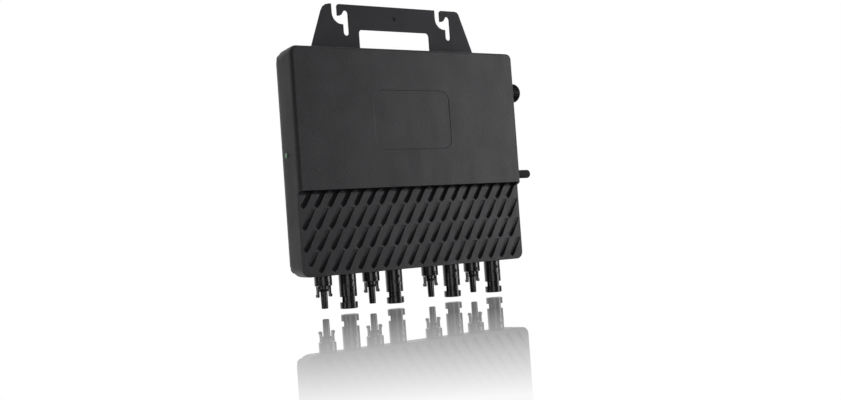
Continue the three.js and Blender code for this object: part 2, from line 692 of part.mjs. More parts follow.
// Cutter outline of one bolt slot: an open mouth in the top edge, a ledge that the bolt
// crosses under the hook's nose, and the narrow slot that the bolt then drops into.
function hookSlotOutline(slotX) {
  const half = HOOK_SLOT_WIDTH / 2;
  const noseOut = slotX - HOOK_NOSE_OUT;
  const noseIn = slotX - HOOK_NOSE_IN;
  const mouth = noseOut - HOOK_SLOT_WIDTH;
  const ramp = slotX - half - mouth - 1.5;
  const above = BRACKET_TOP + OVERCUT;
  const shape = new THREE.Shape();
  shape.moveTo(mouth, above);
  shape.lineTo(mouth, HOOK_LEDGE + ramp);
  shape.absarc(mouth + ramp, HOOK_LEDGE + ramp, ramp, Math.PI, 1.5 * Math.PI, false);
  shape.lineTo(slotX - half, HOOK_LEDGE);
  shape.lineTo(slotX - half, HOOK_SLOT_FOOT + half);
  shape.absarc(slotX, HOOK_SLOT_FOOT + half, half, Math.PI, 2 * Math.PI, false);
  shape.lineTo(slotX + half, HOOK_POCKET_TOP - half);
  shape.absarc(slotX, HOOK_POCKET_TOP - half, half, 0, 0.7 * Math.PI, false);
  shape.lineTo(noseIn, HOOK_NOSE_FOOT + 1.4);
  shape.lineTo(noseIn - 2, HOOK_NOSE_FOOT + 0.3);
  shape.lineTo(noseOut, HOOK_NOSE_FOOT);
  shape.lineTo(noseOut, BRACKET_TOP - HOOK_NOSE_CHAMFER);
  shape.lineTo(noseOut + HOOK_NOSE_CHAMFER + OVERCUT, above);
  return shape;
}

function bracketOutline() {
  const left = BRACKET_CENTRE_X - BRACKET_HALF;
  const right = BRACKET_CENTRE_X + BRACKET_HALF;
  const topLeft = BRACKET_CENTRE_X - BRACKET_TOP_HALF;
  const topRight = BRACKET_CENTRE_X + BRACKET_TOP_HALF;
  const foot = BRACKET_FOOT_Z;
  const corner = BRACKET_FOOT_CORNER;
  const lean = (BRACKET_HALF - BRACKET_TOP_HALF) / (BRACKET_TOP - HEIGHT);
  const shape = new THREE.Shape();
  shape.moveTo(left + corner, foot);
  shape.lineTo(right - corner, foot);
  shape.absarc(right - corner, foot + corner, corner, -Math.PI / 2, 0, false);
  shape.lineTo(right, HEIGHT);
  shape.lineTo(topRight + BRACKET_CORNER * lean, BRACKET_TOP - BRACKET_CORNER);
  shape.quadraticCurveTo(topRight, BRACKET_TOP, topRight - BRACKET_CORNER, BRACKET_TOP);
  shape.lineTo(topLeft + BRACKET_EAR_CORNER, BRACKET_TOP);
  shape.quadraticCurveTo(
    topLeft, BRACKET_TOP, topLeft - BRACKET_EAR_CORNER * lean, BRACKET_TOP - BRACKET_EAR_CORNER,
  );
  shape.lineTo(left, HEIGHT);
  shape.lineTo(left, foot + corner);
  shape.absarc(left + corner, foot + corner, corner, Math.PI, 1.5 * Math.PI, false);
  return shape;
}

function mountingBracket() {
  const through = [BRACKET_FRONT - OVERCUT, BRACKET_BACK + OVERCUT];
  const slots = [-1, 1].map((side) => {
    const slotX = BRACKET_CENTRE_X + HOOK_MIDDLE_X + (side * HOOK_SPACING) / 2;
    return solid(plate(hookSlotOutline(slotX), ...through));
  });
  const handle = solid(plate(roundedRectangle(
    BRACKET_CENTRE_X - HANDLE_WIDTH / 2, HANDLE_FOOT,
    BRACKET_CENTRE_X + HANDLE_WIDTH / 2, HANDLE_TOP, HANDLE_CORNER,
  ), ...through));
  const pit = rod(
    BRACKET_CENTRE_X, PIT_Z, PIT_RADIUS, BRACKET_FRONT - OVERCUT, BRACKET_FRONT + PIT_DEPTH,
  );
  const sinks = bracketScrewPlaces().map(([x, z]) => {
    const narrow = BRACKET_SCREW_RADIUS + GAP;
    const wide = BRACKET_SCREW_HEAD_RADIUS + GAP + OVERCUT;
    const shoulder = BRACKET_SCREW_HEAD_RADIUS - BRACKET_SCREW_RADIUS;
    const sink = turned([
      [0, -BRACKET_THICKNESS - OVERCUT], [narrow, -BRACKET_THICKNESS - OVERCUT],
      [narrow, -shoulder - GAP], [wide, OVERCUT - GAP], [0, OVERCUT - GAP],
    ]);
    sink.rotateX(-Math.PI / 2);
    sink.translate(x, BRACKET_BACK, z);
    return solid(sink);
  });
  const outline = solid(plate(bracketOutline(), BRACKET_FRONT, BRACKET_BACK));
  const body = cut(outline, [...slots, handle, pit, ...sinks]);
  return mesh('mounting_bracket', geometryOf(body), FINISH.plate());
}

// ---------------------------------------------------------------- DC connectors

// Round pip on the front of a connector's collar.
function pip() {
  const ball = new THREE.SphereGeometry(PIP_RADIUS, 8, 6);
  ball.translate(0, -COLLAR_RADIUS - PIP_OUT + PIP_RADIUS, PIP_Z);
  return solid(ball);
}

function plugBody() {
  const outside = solid(turned([
    [0, NOSE_TIP], [NOSE_TIP_RADIUS - 0.4, NOSE_TIP], [NOSE_TIP_RADIUS, NOSE_TIP + 0.6],
    [NOSE_RADIUS, SHOULDER_FOOT], [SHOULDER_RADIUS, SHOULDER_FOOT],
    [SHOULDER_RADIUS, COLLAR_FOOT], [COLLAR_RADIUS - 0.5, COLLAR_FOOT],
    [COLLAR_RADIUS, COLLAR_FOOT + 0.5], [COLLAR_RADIUS, -GAP], [NECK_RADIUS, -GAP],
    [NECK_RADIUS, WALL + NECK_INSIDE], [0, WALL + NECK_INSIDE],
  ]));
  const boreTop = NOSE_TIP + CONTACT_INSET + CONTACT_LENGTH + GAP;
  const bore = solid(bar(NOSE_BORE, NOSE_TIP - OVERCUT, boreTop));
  return geometryOf(outside.add(pip()).subtract(bore));
}

// Metal sleeve inside the plug's nose, closed at its root.
function plugContact() {
  const outer = NOSE_BORE - GAP;
  const mouth = NOSE_TIP + CONTACT_INSET;
  const outside = solid(bar(outer, mouth, mouth + CONTACT_LENGTH));
  const hollow = solid(bar(outer - CONTACT_WALL, mouth - OVERCUT, mouth + CONTACT_LENGTH - 2));
  return geometryOf(outside.subtract(hollow));
}

// Latch arm on the connector's +X side, hinged at its root under the collar.
function latchArm() {
  const inner = LATCH_OUT - LATCH_THICKNESS;
  const root = COLLAR_FOOT - GAP;
  const outline = polygon([
    [inner, LATCH_TIP + 0.6],
    [inner + 0.5, LATCH_TIP],
    [LATCH_OUT, LATCH_TIP],
    [LATCH_BARB_OUT, LATCH_TIP + 1],
    [LATCH_BARB_OUT, LATCH_TIP + LATCH_BARB_HEIGHT - 0.5],
    [LATCH_OUT, LATCH_TIP + LATCH_BARB_HEIGHT],
    [LATCH_OUT, root],
    [inner, root],
  ]);
  return plate(outline, -LATCH_WIDTH / 2, LATCH_WIDTH / 2);
}

// Fork-shaped strengthening rib on the front of a socket.
function socketRib() {
  const half = RIB_WIDTH / 2;
  const spread = RIB_FORK_SPREAD;
  const arm = RIB_FORK_WIDTH;
  const outline = polygon([
    [-half, SOCKET_FOOT], [half, SOCKET_FOOT], [half, RIB_FORK],
    [spread, RIB_TOP - arm], [spread, RIB_TOP], [spread - arm, RIB_TOP],
    [0, RIB_FORK + arm], [-spread + arm, RIB_TOP], [-spread, RIB_TOP],
    [-spread, RIB_TOP - arm], [-half, RIB_FORK],
  ]);
  const slab = solid(plate(outline, -COLLAR_RADIUS - 2, -COLLAR_RADIUS + 3));
  return slab.intersect(solid(bar(COLLAR_RADIUS + RIB_OUT, SOCKET_FOOT, RIB_TOP)));
}

function socketBody() {
  const radius = COLLAR_RADIUS;
  const outside = solid(turned([
    [0, SOCKET_FOOT], [radius - 0.4, SOCKET_FOOT], [radius + 0.2, SOCKET_FOOT + 0.6],
    [radius + 0.2, SOCKET_WAIST_FOOT], [SOCKET_WAIST_RADIUS, SOCKET_WAIST_FOOT],
    [SOCKET_WAIST_RADIUS, SOCKET_BODY_FOOT], [radius, SOCKET_BODY_FOOT], [radius, -GAP],
    [NECK_RADIUS, -GAP], [NECK_RADIUS, WALL + NECK_INSIDE], [0, WALL + NECK_INSIDE],
  ]));
  const bore = solid(bar(SOCKET_BORE, SOCKET_FOOT - OVERCUT, SOCKET_BORE_TOP));
  const channel = solid(block(
    [-SOCKET_CHANNEL_HALF, -SOCKET_CHANNEL_WIDTH / 2, SOCKET_FOOT - OVERCUT],
    [SOCKET_CHANNEL_HALF, SOCKET_CHANNEL_WIDTH / 2, SOCKET_CHANNEL_TOP],
  ));
  const body = join([outside, pip(), socketRib()]);
  return geometryOf(cut(body, [bore, channel]));
}

// Round contact pin standing in the socket's bore.
function socketPin() {
  return turned([
    [0, PIN_TIP], [PIN_RADIUS - 0.9, PIN_TIP], [PIN_RADIUS, PIN_TIP + 1.2],
    [PIN_RADIUS, SOCKET_BORE_TOP - GAP], [0, SOCKET_BORE_TOP - GAP],
  ], COARSE);
}

function plugSet(number) {
  const set = new THREE.Group();
  set.add(mesh(`dc_plug_${number}`, plugBody(), FINISH.moulding()));
  set.add(mesh(`dc_plug_contact_${number}`, plugContact(), FINISH.tinned()));
  const right = mesh(`latch_arm_${number}_right`, latchArm(), FINISH.moulding());
  const left = mesh(`latch_arm_${number}_left`, latchArm(), FINISH.moulding());
  left.rotation.z = Math.PI;
  set.add(left, right);
  return set;
}

function socketSet(number) {
  const set = new THREE.Group();
  set.add(mesh(`dc_socket_${number}`, socketBody(), FINISH.moulding()));
  set.add(mesh(`dc_socket_pin_${number}`, socketPin(), FINISH.tinned()));
  return set;
}

// Plugs and sockets alternate from the left, one pair for each solar panel.
function connectors() {
  return connectorPlaces().map((x, index) => {
    const number = Math.floor(index / 2) + 1;
    const set = index % 2 === 0 ? plugSet(number) : socketSet(number);
    set.position.set(x, CONNECTOR_Y, 0);
    return set;
  });
}

// ---------------------------------------------------------------- AC gland

// The gland's pieces are drawn about +Z with the housing's side at z = 0.
function glandBody() {
  const seat = FLANGE_SEAL_THICKNESS + 2 * GAP;
  const barrelEnd = seat + GLAND_HEX_LENGTH + GLAND_BARREL_LENGTH;
  const hex = new THREE.CylinderGeometry(GLAND_HEX_RADIUS, GLAND_HEX_RADIUS, GLAND_HEX_LENGTH, 6);
  hex.rotateX(Math.PI / 2);
  hex.translate(0, 0, seat + GLAND_HEX_LENGTH / 2);
  const inside = -WALL - GLAND_NECK_INSIDE;
  const neck = solid(bar(GLAND_NECK_RADIUS, inside, seat + OVERCUT));
  const barrel = solid(bar(GLAND_BARREL_RADIUS, seat, barrelEnd));
  const bore = solid(bar(GLAND_BORE, inside - OVERCUT, barrelEnd + OVERCUT));
  const sealBore = solid(bar(
    GLAND_BORE + CABLE_SEAL_WALL / 2, barrelEnd - CABLE_SEAL_LENGTH, barrelEnd + OVERCUT,
  ));
  return geometryOf(cut(join([neck, solid(hex), barrel]), [bore, sealBore]));
}

function flangeSeal() {
  const outer = GLAND_HEX_RADIUS * 0.86;
  const ring = solid(bar(outer, GAP, GAP + FLANGE_SEAL_THICKNESS));
  const hole = solid(bar(GLAND_NECK_RADIUS + GAP, GAP - OVERCUT, GAP + FLANGE_SEAL_THICKNESS + OVERCUT));
  return geometryOf(ring.subtract(hole));
}

function cableSeal() {
  const barrelEnd = FLANGE_SEAL_THICKNESS + 2 * GAP + GLAND_HEX_LENGTH + GLAND_BARREL_LENGTH;
  const low = barrelEnd - CABLE_SEAL_LENGTH + GAP;
  const outer = GLAND_BORE + CABLE_SEAL_WALL / 2 - GAP;
  const ring = solid(bar(outer, low, barrelEnd - GAP));
  const hole = solid(bar(outer - CABLE_SEAL_WALL, low - OVERCUT, barrelEnd));
  return geometryOf(ring.subtract(hole));
}

// Fluted cap nut with a rounded end and the cable's hole.
function capNut() {
  const foot = FLANGE_SEAL_THICKNESS + 3 * GAP + GLAND_HEX_LENGTH;
  const end = foot + GLAND_NUT_LENGTH;
  const inset = GLAND_NUT_RADIUS - GLAND_CABLE_RADIUS - 0.4;
  const domeSteps = [0.25, 0.5, 0.75, 1].map((part) => {
    const angle = (part * Math.PI) / 2;
    return [inset * (1 - Math.cos(angle)), GLAND_DOME * (1 - Math.sin(angle))];
  });
  const outside = solid(turned([
    [0, foot], [GLAND_NUT_RADIUS, foot], [GLAND_NUT_RADIUS, end - GLAND_DOME],
    ...domeSteps.map(([inset, drop]) => [GLAND_NUT_RADIUS - inset, end - drop]),
    [0, end],
  ], FINE));
  const flutes = Array.from({ length: GLAND_NUT_FLUTES }, (_, index) => {
    const flute = new THREE.CylinderGeometry(
      GLAND_FLUTE_RADIUS, GLAND_FLUTE_RADIUS, GLAND_NUT_LENGTH - 5, 8,
    );
    flute.rotateX(Math.PI / 2);
    const angle = (index / GLAND_NUT_FLUTES) * 2 * Math.PI;
    const out = GLAND_NUT_RADIUS + 0.5;
    flute.translate(Math.cos(angle) * out, Math.sin(angle) * out, foot + GLAND_NUT_LENGTH / 2 - 2);
    return solid(flute);
  });
  const thread = solid(bar(GLAND_BARREL_RADIUS + GAP, foot - OVERCUT, end - GLAND_NUT_END));
  const cableHole = solid(bar(GLAND_CABLE_RADIUS, end - GLAND_NUT_END - OVERCUT, end + OVERCUT));
  return geometryOf(cut(outside, [...flutes, thread, cableHole]));
}

function acGland() {
  const gland = new THREE.Group();
  gland.add(mesh('ac_gland_body', glandBody(), FINISH.moulding()));
  gland.add(mesh('ac_gland_flange_seal', flangeSeal(), FINISH.rubber()));
  gland.add(mesh('ac_gland_cable_seal', cableSeal(), FINISH.rubber()));
  gland.add(mesh('ac_gland_cap_nut', capNut(), FINISH.moulding()));
  gland.rotation.y = Math.PI / 2;
  gland.position.set(HALF_WIDTH, GLAND_Y, GLAND_Z);
  return gland;
}

// ---------------------------------------------------------------- aerial and status lamp

function aerial() {
  const baseEnd = GAP + AERIAL_BASE_LENGTH;
  const base = new THREE.CylinderGeometry(
    AERIAL_BASE_RADIUS, AERIAL_BASE_RADIUS, AERIAL_BASE_LENGTH, 6,
  );
  base.rotateX(Math.PI / 2);
  base.translate(0, 0, GAP + AERIAL_BASE_LENGTH / 2);
  const stem = solid(bar(AERIAL_STEM_RADIUS, -WALL - AERIAL_STEM_INSIDE, GAP + OVERCUT, COARSE));
  const stub = turned([
    [0, baseEnd + GAP], [AERIAL_RADIUS - 0.4, baseEnd + GAP],
    [AERIAL_RADIUS, baseEnd + GAP + 0.4], [AERIAL_RADIUS, AERIAL_TIP - 2],
    [AERIAL_RADIUS - 0.7, AERIAL_TIP - 0.6], [AERIAL_RADIUS - 2.2, AERIAL_TIP], [0, AERIAL_TIP],
  ]);
  const group = new THREE.Group();
  group.add(mesh('aerial_base', geometryOf(solid(base).add(stem)), FINISH.steel()));
  group.add(mesh('aerial_stub', stub, FINISH.rubber()));
  group.rotation.y = Math.PI / 2;
  group.position.set(HALF_WIDTH, CONNECTOR_Y, AERIAL_Z);
  return group;
}

function statusLamp() {
  const lens = turned([
    [0, -WALL - 2], [LAMP_RADIUS, -WALL - 2], [LAMP_RADIUS, GAP], [LAMP_RIM_RADIUS, GAP],
    [LAMP_RIM_RADIUS, GAP + 0.3], [LAMP_RIM_RADIUS * 0.6, GAP + LAMP_OUT], [0, GAP + LAMP_OUT],
  ], COARSE);
  const lamp = mesh('status_lamp', lens, FINISH.lens());
  lamp.rotation.y = -Math.PI / 2;
  lamp.position.set(-HALF_WIDTH, CONNECTOR_Y, LAMP_Z);
  return lamp;
}

// ---------------------------------------------------------------- electronics

// Box whose back rests on the board's front, centred on (x, z).
function onBoard(name, [x, z], [width, height, length], material) {
  const back = BOARD_FRONT - GAP;
  const body = block(
    [x - width / 2, back - height, z - length / 2], [x + width / 2, back, z + length / 2],
  );
  return mesh(name, body, material);
}

// Place of one of four like pieces spread evenly over the board, the outer ones inset.
function acrossBoard(index, inset) {
  const outer = BOARD_HALF_WIDTH - inset;
  return ((2 * index) / (CONNECTORS_PER_SIDE - 1) - 1) * outer;
}

// Ferrite core with a narrower wound waist, standing on the board.
function transformer(index) {
  const [width, height, length] = TRANSFORMER_SIZE;
  const x = acrossBoard(index, TRANSFORMER_EDGE + width / 2);
  const back = BOARD_FRONT - GAP;
  const core = solid(block(
    [x - width / 2, back - height, TRANSFORMER_Z - TRANSFORMER_WAIST],
    [x + width / 2, back, TRANSFORMER_Z + TRANSFORMER_WAIST],
  ));
  const coil = solid(block(
    [x - width / 2 + 4, back - height + 1.5, TRANSFORMER_Z - length / 2],
    [x + width / 2 - 4, back - 1.5, TRANSFORMER_Z + length / 2],
  ));
  return mesh(`transformer_${index + 1}`, geometryOf(core.add(coil)), FINISH.ferrite());
}

// Electrolytic can lying along the board.
function inputCapacitor(index) {
  const x = acrossBoard(index, CAPACITOR_EDGE + CAPACITOR_RADIUS);
  const low = CAPACITOR_Z - CAPACITOR_LENGTH / 2;
  const high = CAPACITOR_Z + CAPACITOR_LENGTH / 2;
  const can = turned([
    [0, low], [CAPACITOR_RADIUS, low], [CAPACITOR_RADIUS, high - 3.4],
    [CAPACITOR_RADIUS - 0.7, high - 2.9], [CAPACITOR_RADIUS, high - 2.4],
    [CAPACITOR_RADIUS, high], [0, high],
  ]);
  can.translate(x, BOARD_FRONT - GAP - CAPACITOR_RADIUS, 0);
  return mesh(`input_capacitor_${index + 1}`, can, FINISH.sleeve());
}

function outputChoke() {
  const back = BOARD_FRONT - GAP;
  const ring = rod(CHOKE_X, CHOKE_Z, CHOKE_RADIUS, back - CHOKE_LENGTH, back);
  const hole = rod(CHOKE_X, CHOKE_Z, CHOKE_BORE, back - CHOKE_LENGTH - OVERCUT, back + OVERCUT);
  return mesh('output_choke', geometryOf(ring.subtract(hole)), FINISH.ferrite());
}

// Heat pad between the casting's inner face and the board's power switches.
function thermalPad() {
  const half = BOARD_HALF_WIDTH - THERMAL_PAD_EDGE;
  const z = STEP_TOP - THERMAL_PAD_DROP;
  const body = block(
    [-half, LAND_INSIDE + GAP, z - THERMAL_PAD_HEIGHT / 2],
    [half, BOARD_FRONT - GAP, z + THERMAL_PAD_HEIGHT / 2],
  );
  return mesh('thermal_pad', body, FINISH.pad());
}

function electronics() {
  const group = new THREE.Group();
  const board = block(
    [-BOARD_HALF_WIDTH, BOARD_FRONT, BOARD_FOOT],
    [BOARD_HALF_WIDTH, BOARD_FRONT + BOARD_THICKNESS, BOARD_TOP],
  );
  group.add(mesh('circuit_board', board, FINISH.board()));
  for (let index = 0; index < CONNECTORS_PER_SIDE; index += 1) {
    group.add(transformer(index), inputCapacitor(index));
  }
  group.add(outputChoke(), thermalPad());
  const relay = [BOARD_HALF_WIDTH - RELAY_EDGE, CHOKE_Z + RELAY_RISE];
  const film = [BOARD_HALF_WIDTH - FILM_CAPACITOR_EDGE, CHOKE_Z - FILM_CAPACITOR_DROP];
  const radio = [BOARD_HALF_WIDTH - RADIO_EDGE, TRANSFORMER_Z - RADIO_DROP];
  group.add(onBoard('relay', relay, RELAY_SIZE, FINISH.sleeve()));
  group.add(onBoard('film_capacitor', film, FILM_CAPACITOR_SIZE, FINISH.sleeve()));
  group.add(onBoard('radio_module', radio, RADIO_SIZE, FINISH.board()));
  return group;
}

// ---------------------------------------------------------------- assembly

const inverter = new THREE.Group();
inverter.add(housing(), coverGasket(), rearCover(), mountingBracket());
inverter.add(...coverScrews(), ...bracketScrews(), ...connectors());
inverter.add(acGland(), aerial(), statusLamp(), electronics());
inverter.position.set(0, -BRACKET_BACK, -ORIGIN_Z);

export default inverter;
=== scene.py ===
"""The looks of a hanging solar micro inverter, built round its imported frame.

Shapes are drawn in millimetres about a piece's own axis and are then moved to their place in
the frame, which is in metres. +X is to the right seen from the front, -Y is the front and +Z
is up. Every finish is a node material on object coordinates.
"""

import json
import logging
import math
from dataclasses import dataclass
from enum import Enum

import bmesh
import bpy
from mathutils import Matrix, Vector


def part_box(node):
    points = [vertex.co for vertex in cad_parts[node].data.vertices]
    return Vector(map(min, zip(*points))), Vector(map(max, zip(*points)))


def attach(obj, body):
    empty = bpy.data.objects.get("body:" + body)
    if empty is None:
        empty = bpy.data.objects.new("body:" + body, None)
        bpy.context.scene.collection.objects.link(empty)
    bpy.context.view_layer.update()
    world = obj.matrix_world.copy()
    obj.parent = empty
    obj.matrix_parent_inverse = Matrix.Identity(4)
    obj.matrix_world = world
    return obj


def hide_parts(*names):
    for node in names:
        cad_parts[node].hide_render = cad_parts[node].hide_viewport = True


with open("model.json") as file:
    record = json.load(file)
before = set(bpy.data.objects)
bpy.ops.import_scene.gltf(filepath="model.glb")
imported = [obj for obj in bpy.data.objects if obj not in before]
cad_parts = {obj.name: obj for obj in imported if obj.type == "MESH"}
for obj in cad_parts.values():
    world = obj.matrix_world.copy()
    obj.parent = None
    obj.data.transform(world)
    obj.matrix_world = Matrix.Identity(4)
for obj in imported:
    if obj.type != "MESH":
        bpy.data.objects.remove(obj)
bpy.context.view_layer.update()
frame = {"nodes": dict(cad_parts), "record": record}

MM = 0.001
ROOT_BODY = "inverter"
FINE_TURN = 64  # sides of a turned piece
SMALL_TURN = 32  # sides of a small turned piece
CREASE = math.radians(34)  # edges sharper than this stay crisp
CAST_CREASE = math.radians(32)  # edges of a casting sharper than this are rounded
PLATE_CREASE = math.radians(35)
MOULD_CREASE = math.radians(40)
SCREW_CREASE = math.radians(50)
FLAT = math.radians(0.6)  # neighbouring faces that meet at less than this are made one
NODE_MERGE = 0.004  # mm; points of a node closer than this are one
CLEAN_MERGE = 0.002  # mm; the same for a new shape
JOIN_MERGE = 0.003  # mm; the same after a join or a cut
CUT_REACH = 0.0005  # mm
WHITE = (1, 1, 1, 1)
Triple = tuple[float, float, float]
Pair = tuple[float, float]

log = logging.getLogger("inverter")


def quarter(step: int) -> list[float]:
    """Return the angles from 0 to a right angle, so many degrees apart."""
    return [math.radians(angle) for angle in range(0, 91, step)]


# ---------------------------------------------------------------- shapes


class Form:
    """A closed shape under construction, in millimetres."""

    def __init__(self, mesh: bmesh.types.BMesh) -> None:
        """Keep the mesh that the operators work on.

        Args:
            mesh: The mesh under construction.
        """
        self.mesh = mesh

    @classmethod
    def turned(cls, profile: list[Pair], sides: int = FINE_TURN) -> "Form":
        """Spin a profile about +Z.

        Args:
            profile: [radius, height] pairs that start and end on the axis, or close on themselves.
            sides: Sides of the full circle.

        Returns:
            The body of revolution.
        """
        mesh = bmesh.new()
        verts = [mesh.verts.new((radius, 0, height)) for radius, height in profile]
        edges = [mesh.edges.new(pair) for pair in zip(verts, verts[1:])]
        bmesh.ops.spin(
            mesh, geom=verts + edges, cent=(0, 0, 0), axis=(0, 0, 1),
            angle=math.tau, steps=sides, use_merge=True,
        )
        return cls(mesh).cleaned()

    @classmethod
    def rod(cls, radius: float, low: float, high: float, sides: int = FINE_TURN) -> "Form":
        """Spin a plain bar about +Z from its radius and its two heights.

        Args:
            radius: Its radius.
            low: Height of its foot.
            high: Height of its top.
            sides: Sides of the full circle.

        Returns:
            The bar.
        """
        return cls.turned([(0, low), (radius, low), (radius, high), (0, high)], sides)

    @classmethod
    def prism(cls, outline: list[Pair], low: float, high: float) -> "Form":
        """Extrude an outline drawn in X and Z along Y.

        Args:
            outline: The corners, in order.
            low: Lowest Y.
            high: Highest Y.

        Returns:
            The prism.
        """
        mesh = bmesh.new()
        face = mesh.faces.new([mesh.verts.new((x, low, z)) for x, z in outline])
        grown = bmesh.ops.extrude_face_region(mesh, geom=[face])["geom"]
        moved = [item for item in grown if isinstance(item, bmesh.types.BMVert)]
        bmesh.ops.translate(mesh, vec=(0, high - low, 0), verts=moved)
        return cls(mesh).cleaned()

    @classmethod
    def block(cls, low: Triple, high: Triple) -> "Form":
        """Make a box from its lowest and highest corners.

        Args:
            low: Lowest corner.
            high: Highest corner.

        Returns:
            The box.
        """
        mesh = bmesh.new()
        size = Vector(high) - Vector(low)
        middle = (Vector(high) + Vector(low)) / 2
        place = Matrix.Translation(middle) @ Matrix.Diagonal((*size, 1))
        bmesh.ops.create_cube(mesh, size=1, matrix=place)
        return cls(mesh)

    @classmethod
    def hexagon(cls, radius: float, low: float, high: float) -> "Form":
        """Make a hexagonal bar about +Z from its corner radius and its two heights.

        Args:
            radius: Radius to its corners.
            low: Height of its foot.
            high: Height of its top.

        Returns:
            The bar.
        """
        mesh = bmesh.new()
        bmesh.ops.create_cone(
            mesh, cap_ends=True, segments=6, radius1=radius, radius2=radius, depth=high - low,
            matrix=Matrix.Translation((0, 0, (low + high) / 2)),
        )
        return cls(mesh)

    @classmethod
    def of_node(cls, node: str, levels: tuple[float, ...] = ()) -> "Form":
        """Copy a node of the frame, with its doubles merged and its flat faces made whole.

        Args:
            node: The node.
            levels: Heights at which flat faces stay parted, so that none runs round a hole.

        Returns:
            The copy.
        """
        mesh = bmesh.new()
        mesh.from_mesh(frame["nodes"][node].data)
        bmesh.ops.transform(mesh, matrix=Matrix.Scale(1 / MM, 4), verts=mesh.verts)
        bmesh.ops.remove_doubles(mesh, verts=mesh.verts, dist=NODE_MERGE)
        bmesh.ops.dissolve_degenerate(mesh, edges=mesh.edges, dist=NODE_MERGE)
        for level in levels:
            everything = [*mesh.verts, *mesh.edges, *mesh.faces]
            cut = bmesh.ops.bisect_plane(
                mesh, geom=everything, dist=CUT_REACH, plane_co=(0, 0, level), plane_no=(0, 0, 1),
            )
            for item in cut["geom_cut"]:
                if isinstance(item, bmesh.types.BMEdge):
                    item.seam = True
        bmesh.ops.dissolve_limit(
            mesh, angle_limit=FLAT, verts=mesh.verts, edges=mesh.edges,
            delimit={"SEAM"},
        )
        return cls(mesh)

    def cleaned(self) -> "Form":
        """Merge doubled points and turn the faces outwards.

        Returns:
            This shape.
        """
        bmesh.ops.remove_doubles(self.mesh, verts=self.mesh.verts, dist=CLEAN_MERGE)
        bmesh.ops.recalc_face_normals(self.mesh, faces=self.mesh.faces)
        return self

    def moved(self, matrix: Matrix) -> "Form":
        """Transform the whole shape."""
        bmesh.ops.transform(self.mesh, matrix=matrix, verts=self.mesh.verts)
        return self

    def copy(self) -> "Form":
        """Return a copy that can be changed on its own."""
        return Form(self.mesh.copy())

    def softened(self, width: float, steps: int = 2, crease: float = CREASE) -> "Form":
        """Round every crisp edge, and mark the rounding as open to wear.

        Args:
            width: How far the rounding reaches from the edge.
            steps: Facets across the rounding.
            crease: Edges sharper than this angle are rounded.

        Returns:
            This shape.
        """
        wear = self.mesh.verts.layers.float.get("wear") or self.mesh.verts.layers.float.new("wear")
        crisp = [
            edge for edge in self.mesh.edges
            if edge.is_manifold and edge.calc_face_angle(0) > crease
        ]
        convex = {vert for edge in crisp if edge.is_convex for vert in edge.verts}
        for vert in convex:
            vert[wear] = 1
        made = bmesh.ops.bevel(
            self.mesh, geom=crisp, offset=width, offset_type="OFFSET", segments=steps,
            profile=0.5, affect="EDGES", clamp_overlap=False, material=-1,
        )
        rounding = set(made["faces"])
        for vert in self.mesh.verts:
            if any(face not in rounding for face in vert.link_faces):
                vert[wear] = 0
        return self

    def _combined(self, others: list["Form"], operation: str) -> "Form":
        """Join or cut this shape with others.

        Args:
            others: The shapes that act on this one.
            operation: The name of the boolean operation.

        Returns:
            This shape, changed.
        """
        body = self._object("carved")
        tools = [other._object("carver") for other in others]
        for tool in tools:
            step = body.modifiers.new("carve", "BOOLEAN")
            step.operation = operation
            step.solver = "EXACT"
            step.object = tool
        graph = bpy.context.evaluated_depsgraph_get()
        result = bpy.data.meshes.new_from_object(body.evaluated_get(graph))
        self.mesh.clear()
        self.mesh.from_mesh(result)
        for spent in [body, *tools]:
            bpy.data.objects.remove(spent)
        bmesh.ops.remove_doubles(self.mesh, verts=self.mesh.verts, dist=JOIN_MERGE)
        bmesh.ops.dissolve_degenerate(self.mesh, edges=self.mesh.edges, dist=JOIN_MERGE)
        return self

    def less(self, *others: "Form") -> "Form":
        """Cut other shapes out of this one."""
        return self._combined(list(others), "DIFFERENCE")

    def plus(self, *others: "Form") -> "Form":
        """Weld other shapes to this one."""
        return self._combined(list(others), "UNION")

    def _object(self, name: str) -> bpy.types.Object:
        """Put the shape in the scene as it stands, in millimetres.

        Args:
            name: Its name.

        Returns:
            The object.
        """
        data = bpy.data.meshes.new(name)
        self.mesh.to_mesh(data)
        return in_scene(name, data)

    def piece(
        self, name: str, finish: "Finish", place: Matrix = Matrix(), body: str = ROOT_BODY,
        replaces: tuple[str, ...] = (),
    ) -> bpy.types.Object:
        """Finish the shape as a piece of the object.

        Args:
            name: The piece's name.
            finish: Its finish.
            place: Where its axis stands in the frame, in millimetres.
            body: The body that it moves with.
            replaces: The nodes that it stands for.

        Returns:
            The finished piece.
        """
        made = self._object(name)
        made.data.transform(Matrix.Scale(MM, 4) @ place)
        made.data.shade_smooth()
        made.data.set_sharp_from_angle(angle=CREASE)
        normals = made.modifiers.new("even_shading", "WEIGHTED_NORMAL")
        normals.keep_sharp = True
        finish.put_on(made)
        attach(made, body)
        if replaces:
            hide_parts(*replaces)
        log.info("piece %s: %d faces", name, len(made.data.polygons))
        return made


# ---------------------------------------------------------------- finishes


class Grain(Enum):
    """The fine structure of a surface."""

    POWDER = "pebbled powder coat on a casting"
    SATIN = "smooth sprayed coat"
    MOULDED = "spark-eroded mould texture"
    PLATED = "plated metal with drawing lines"
    LAMINATE = "solder mask over glass weave and tracks"
    WOUND = "turns of wire under tape"
    SPONGY = "soft filled silicone"


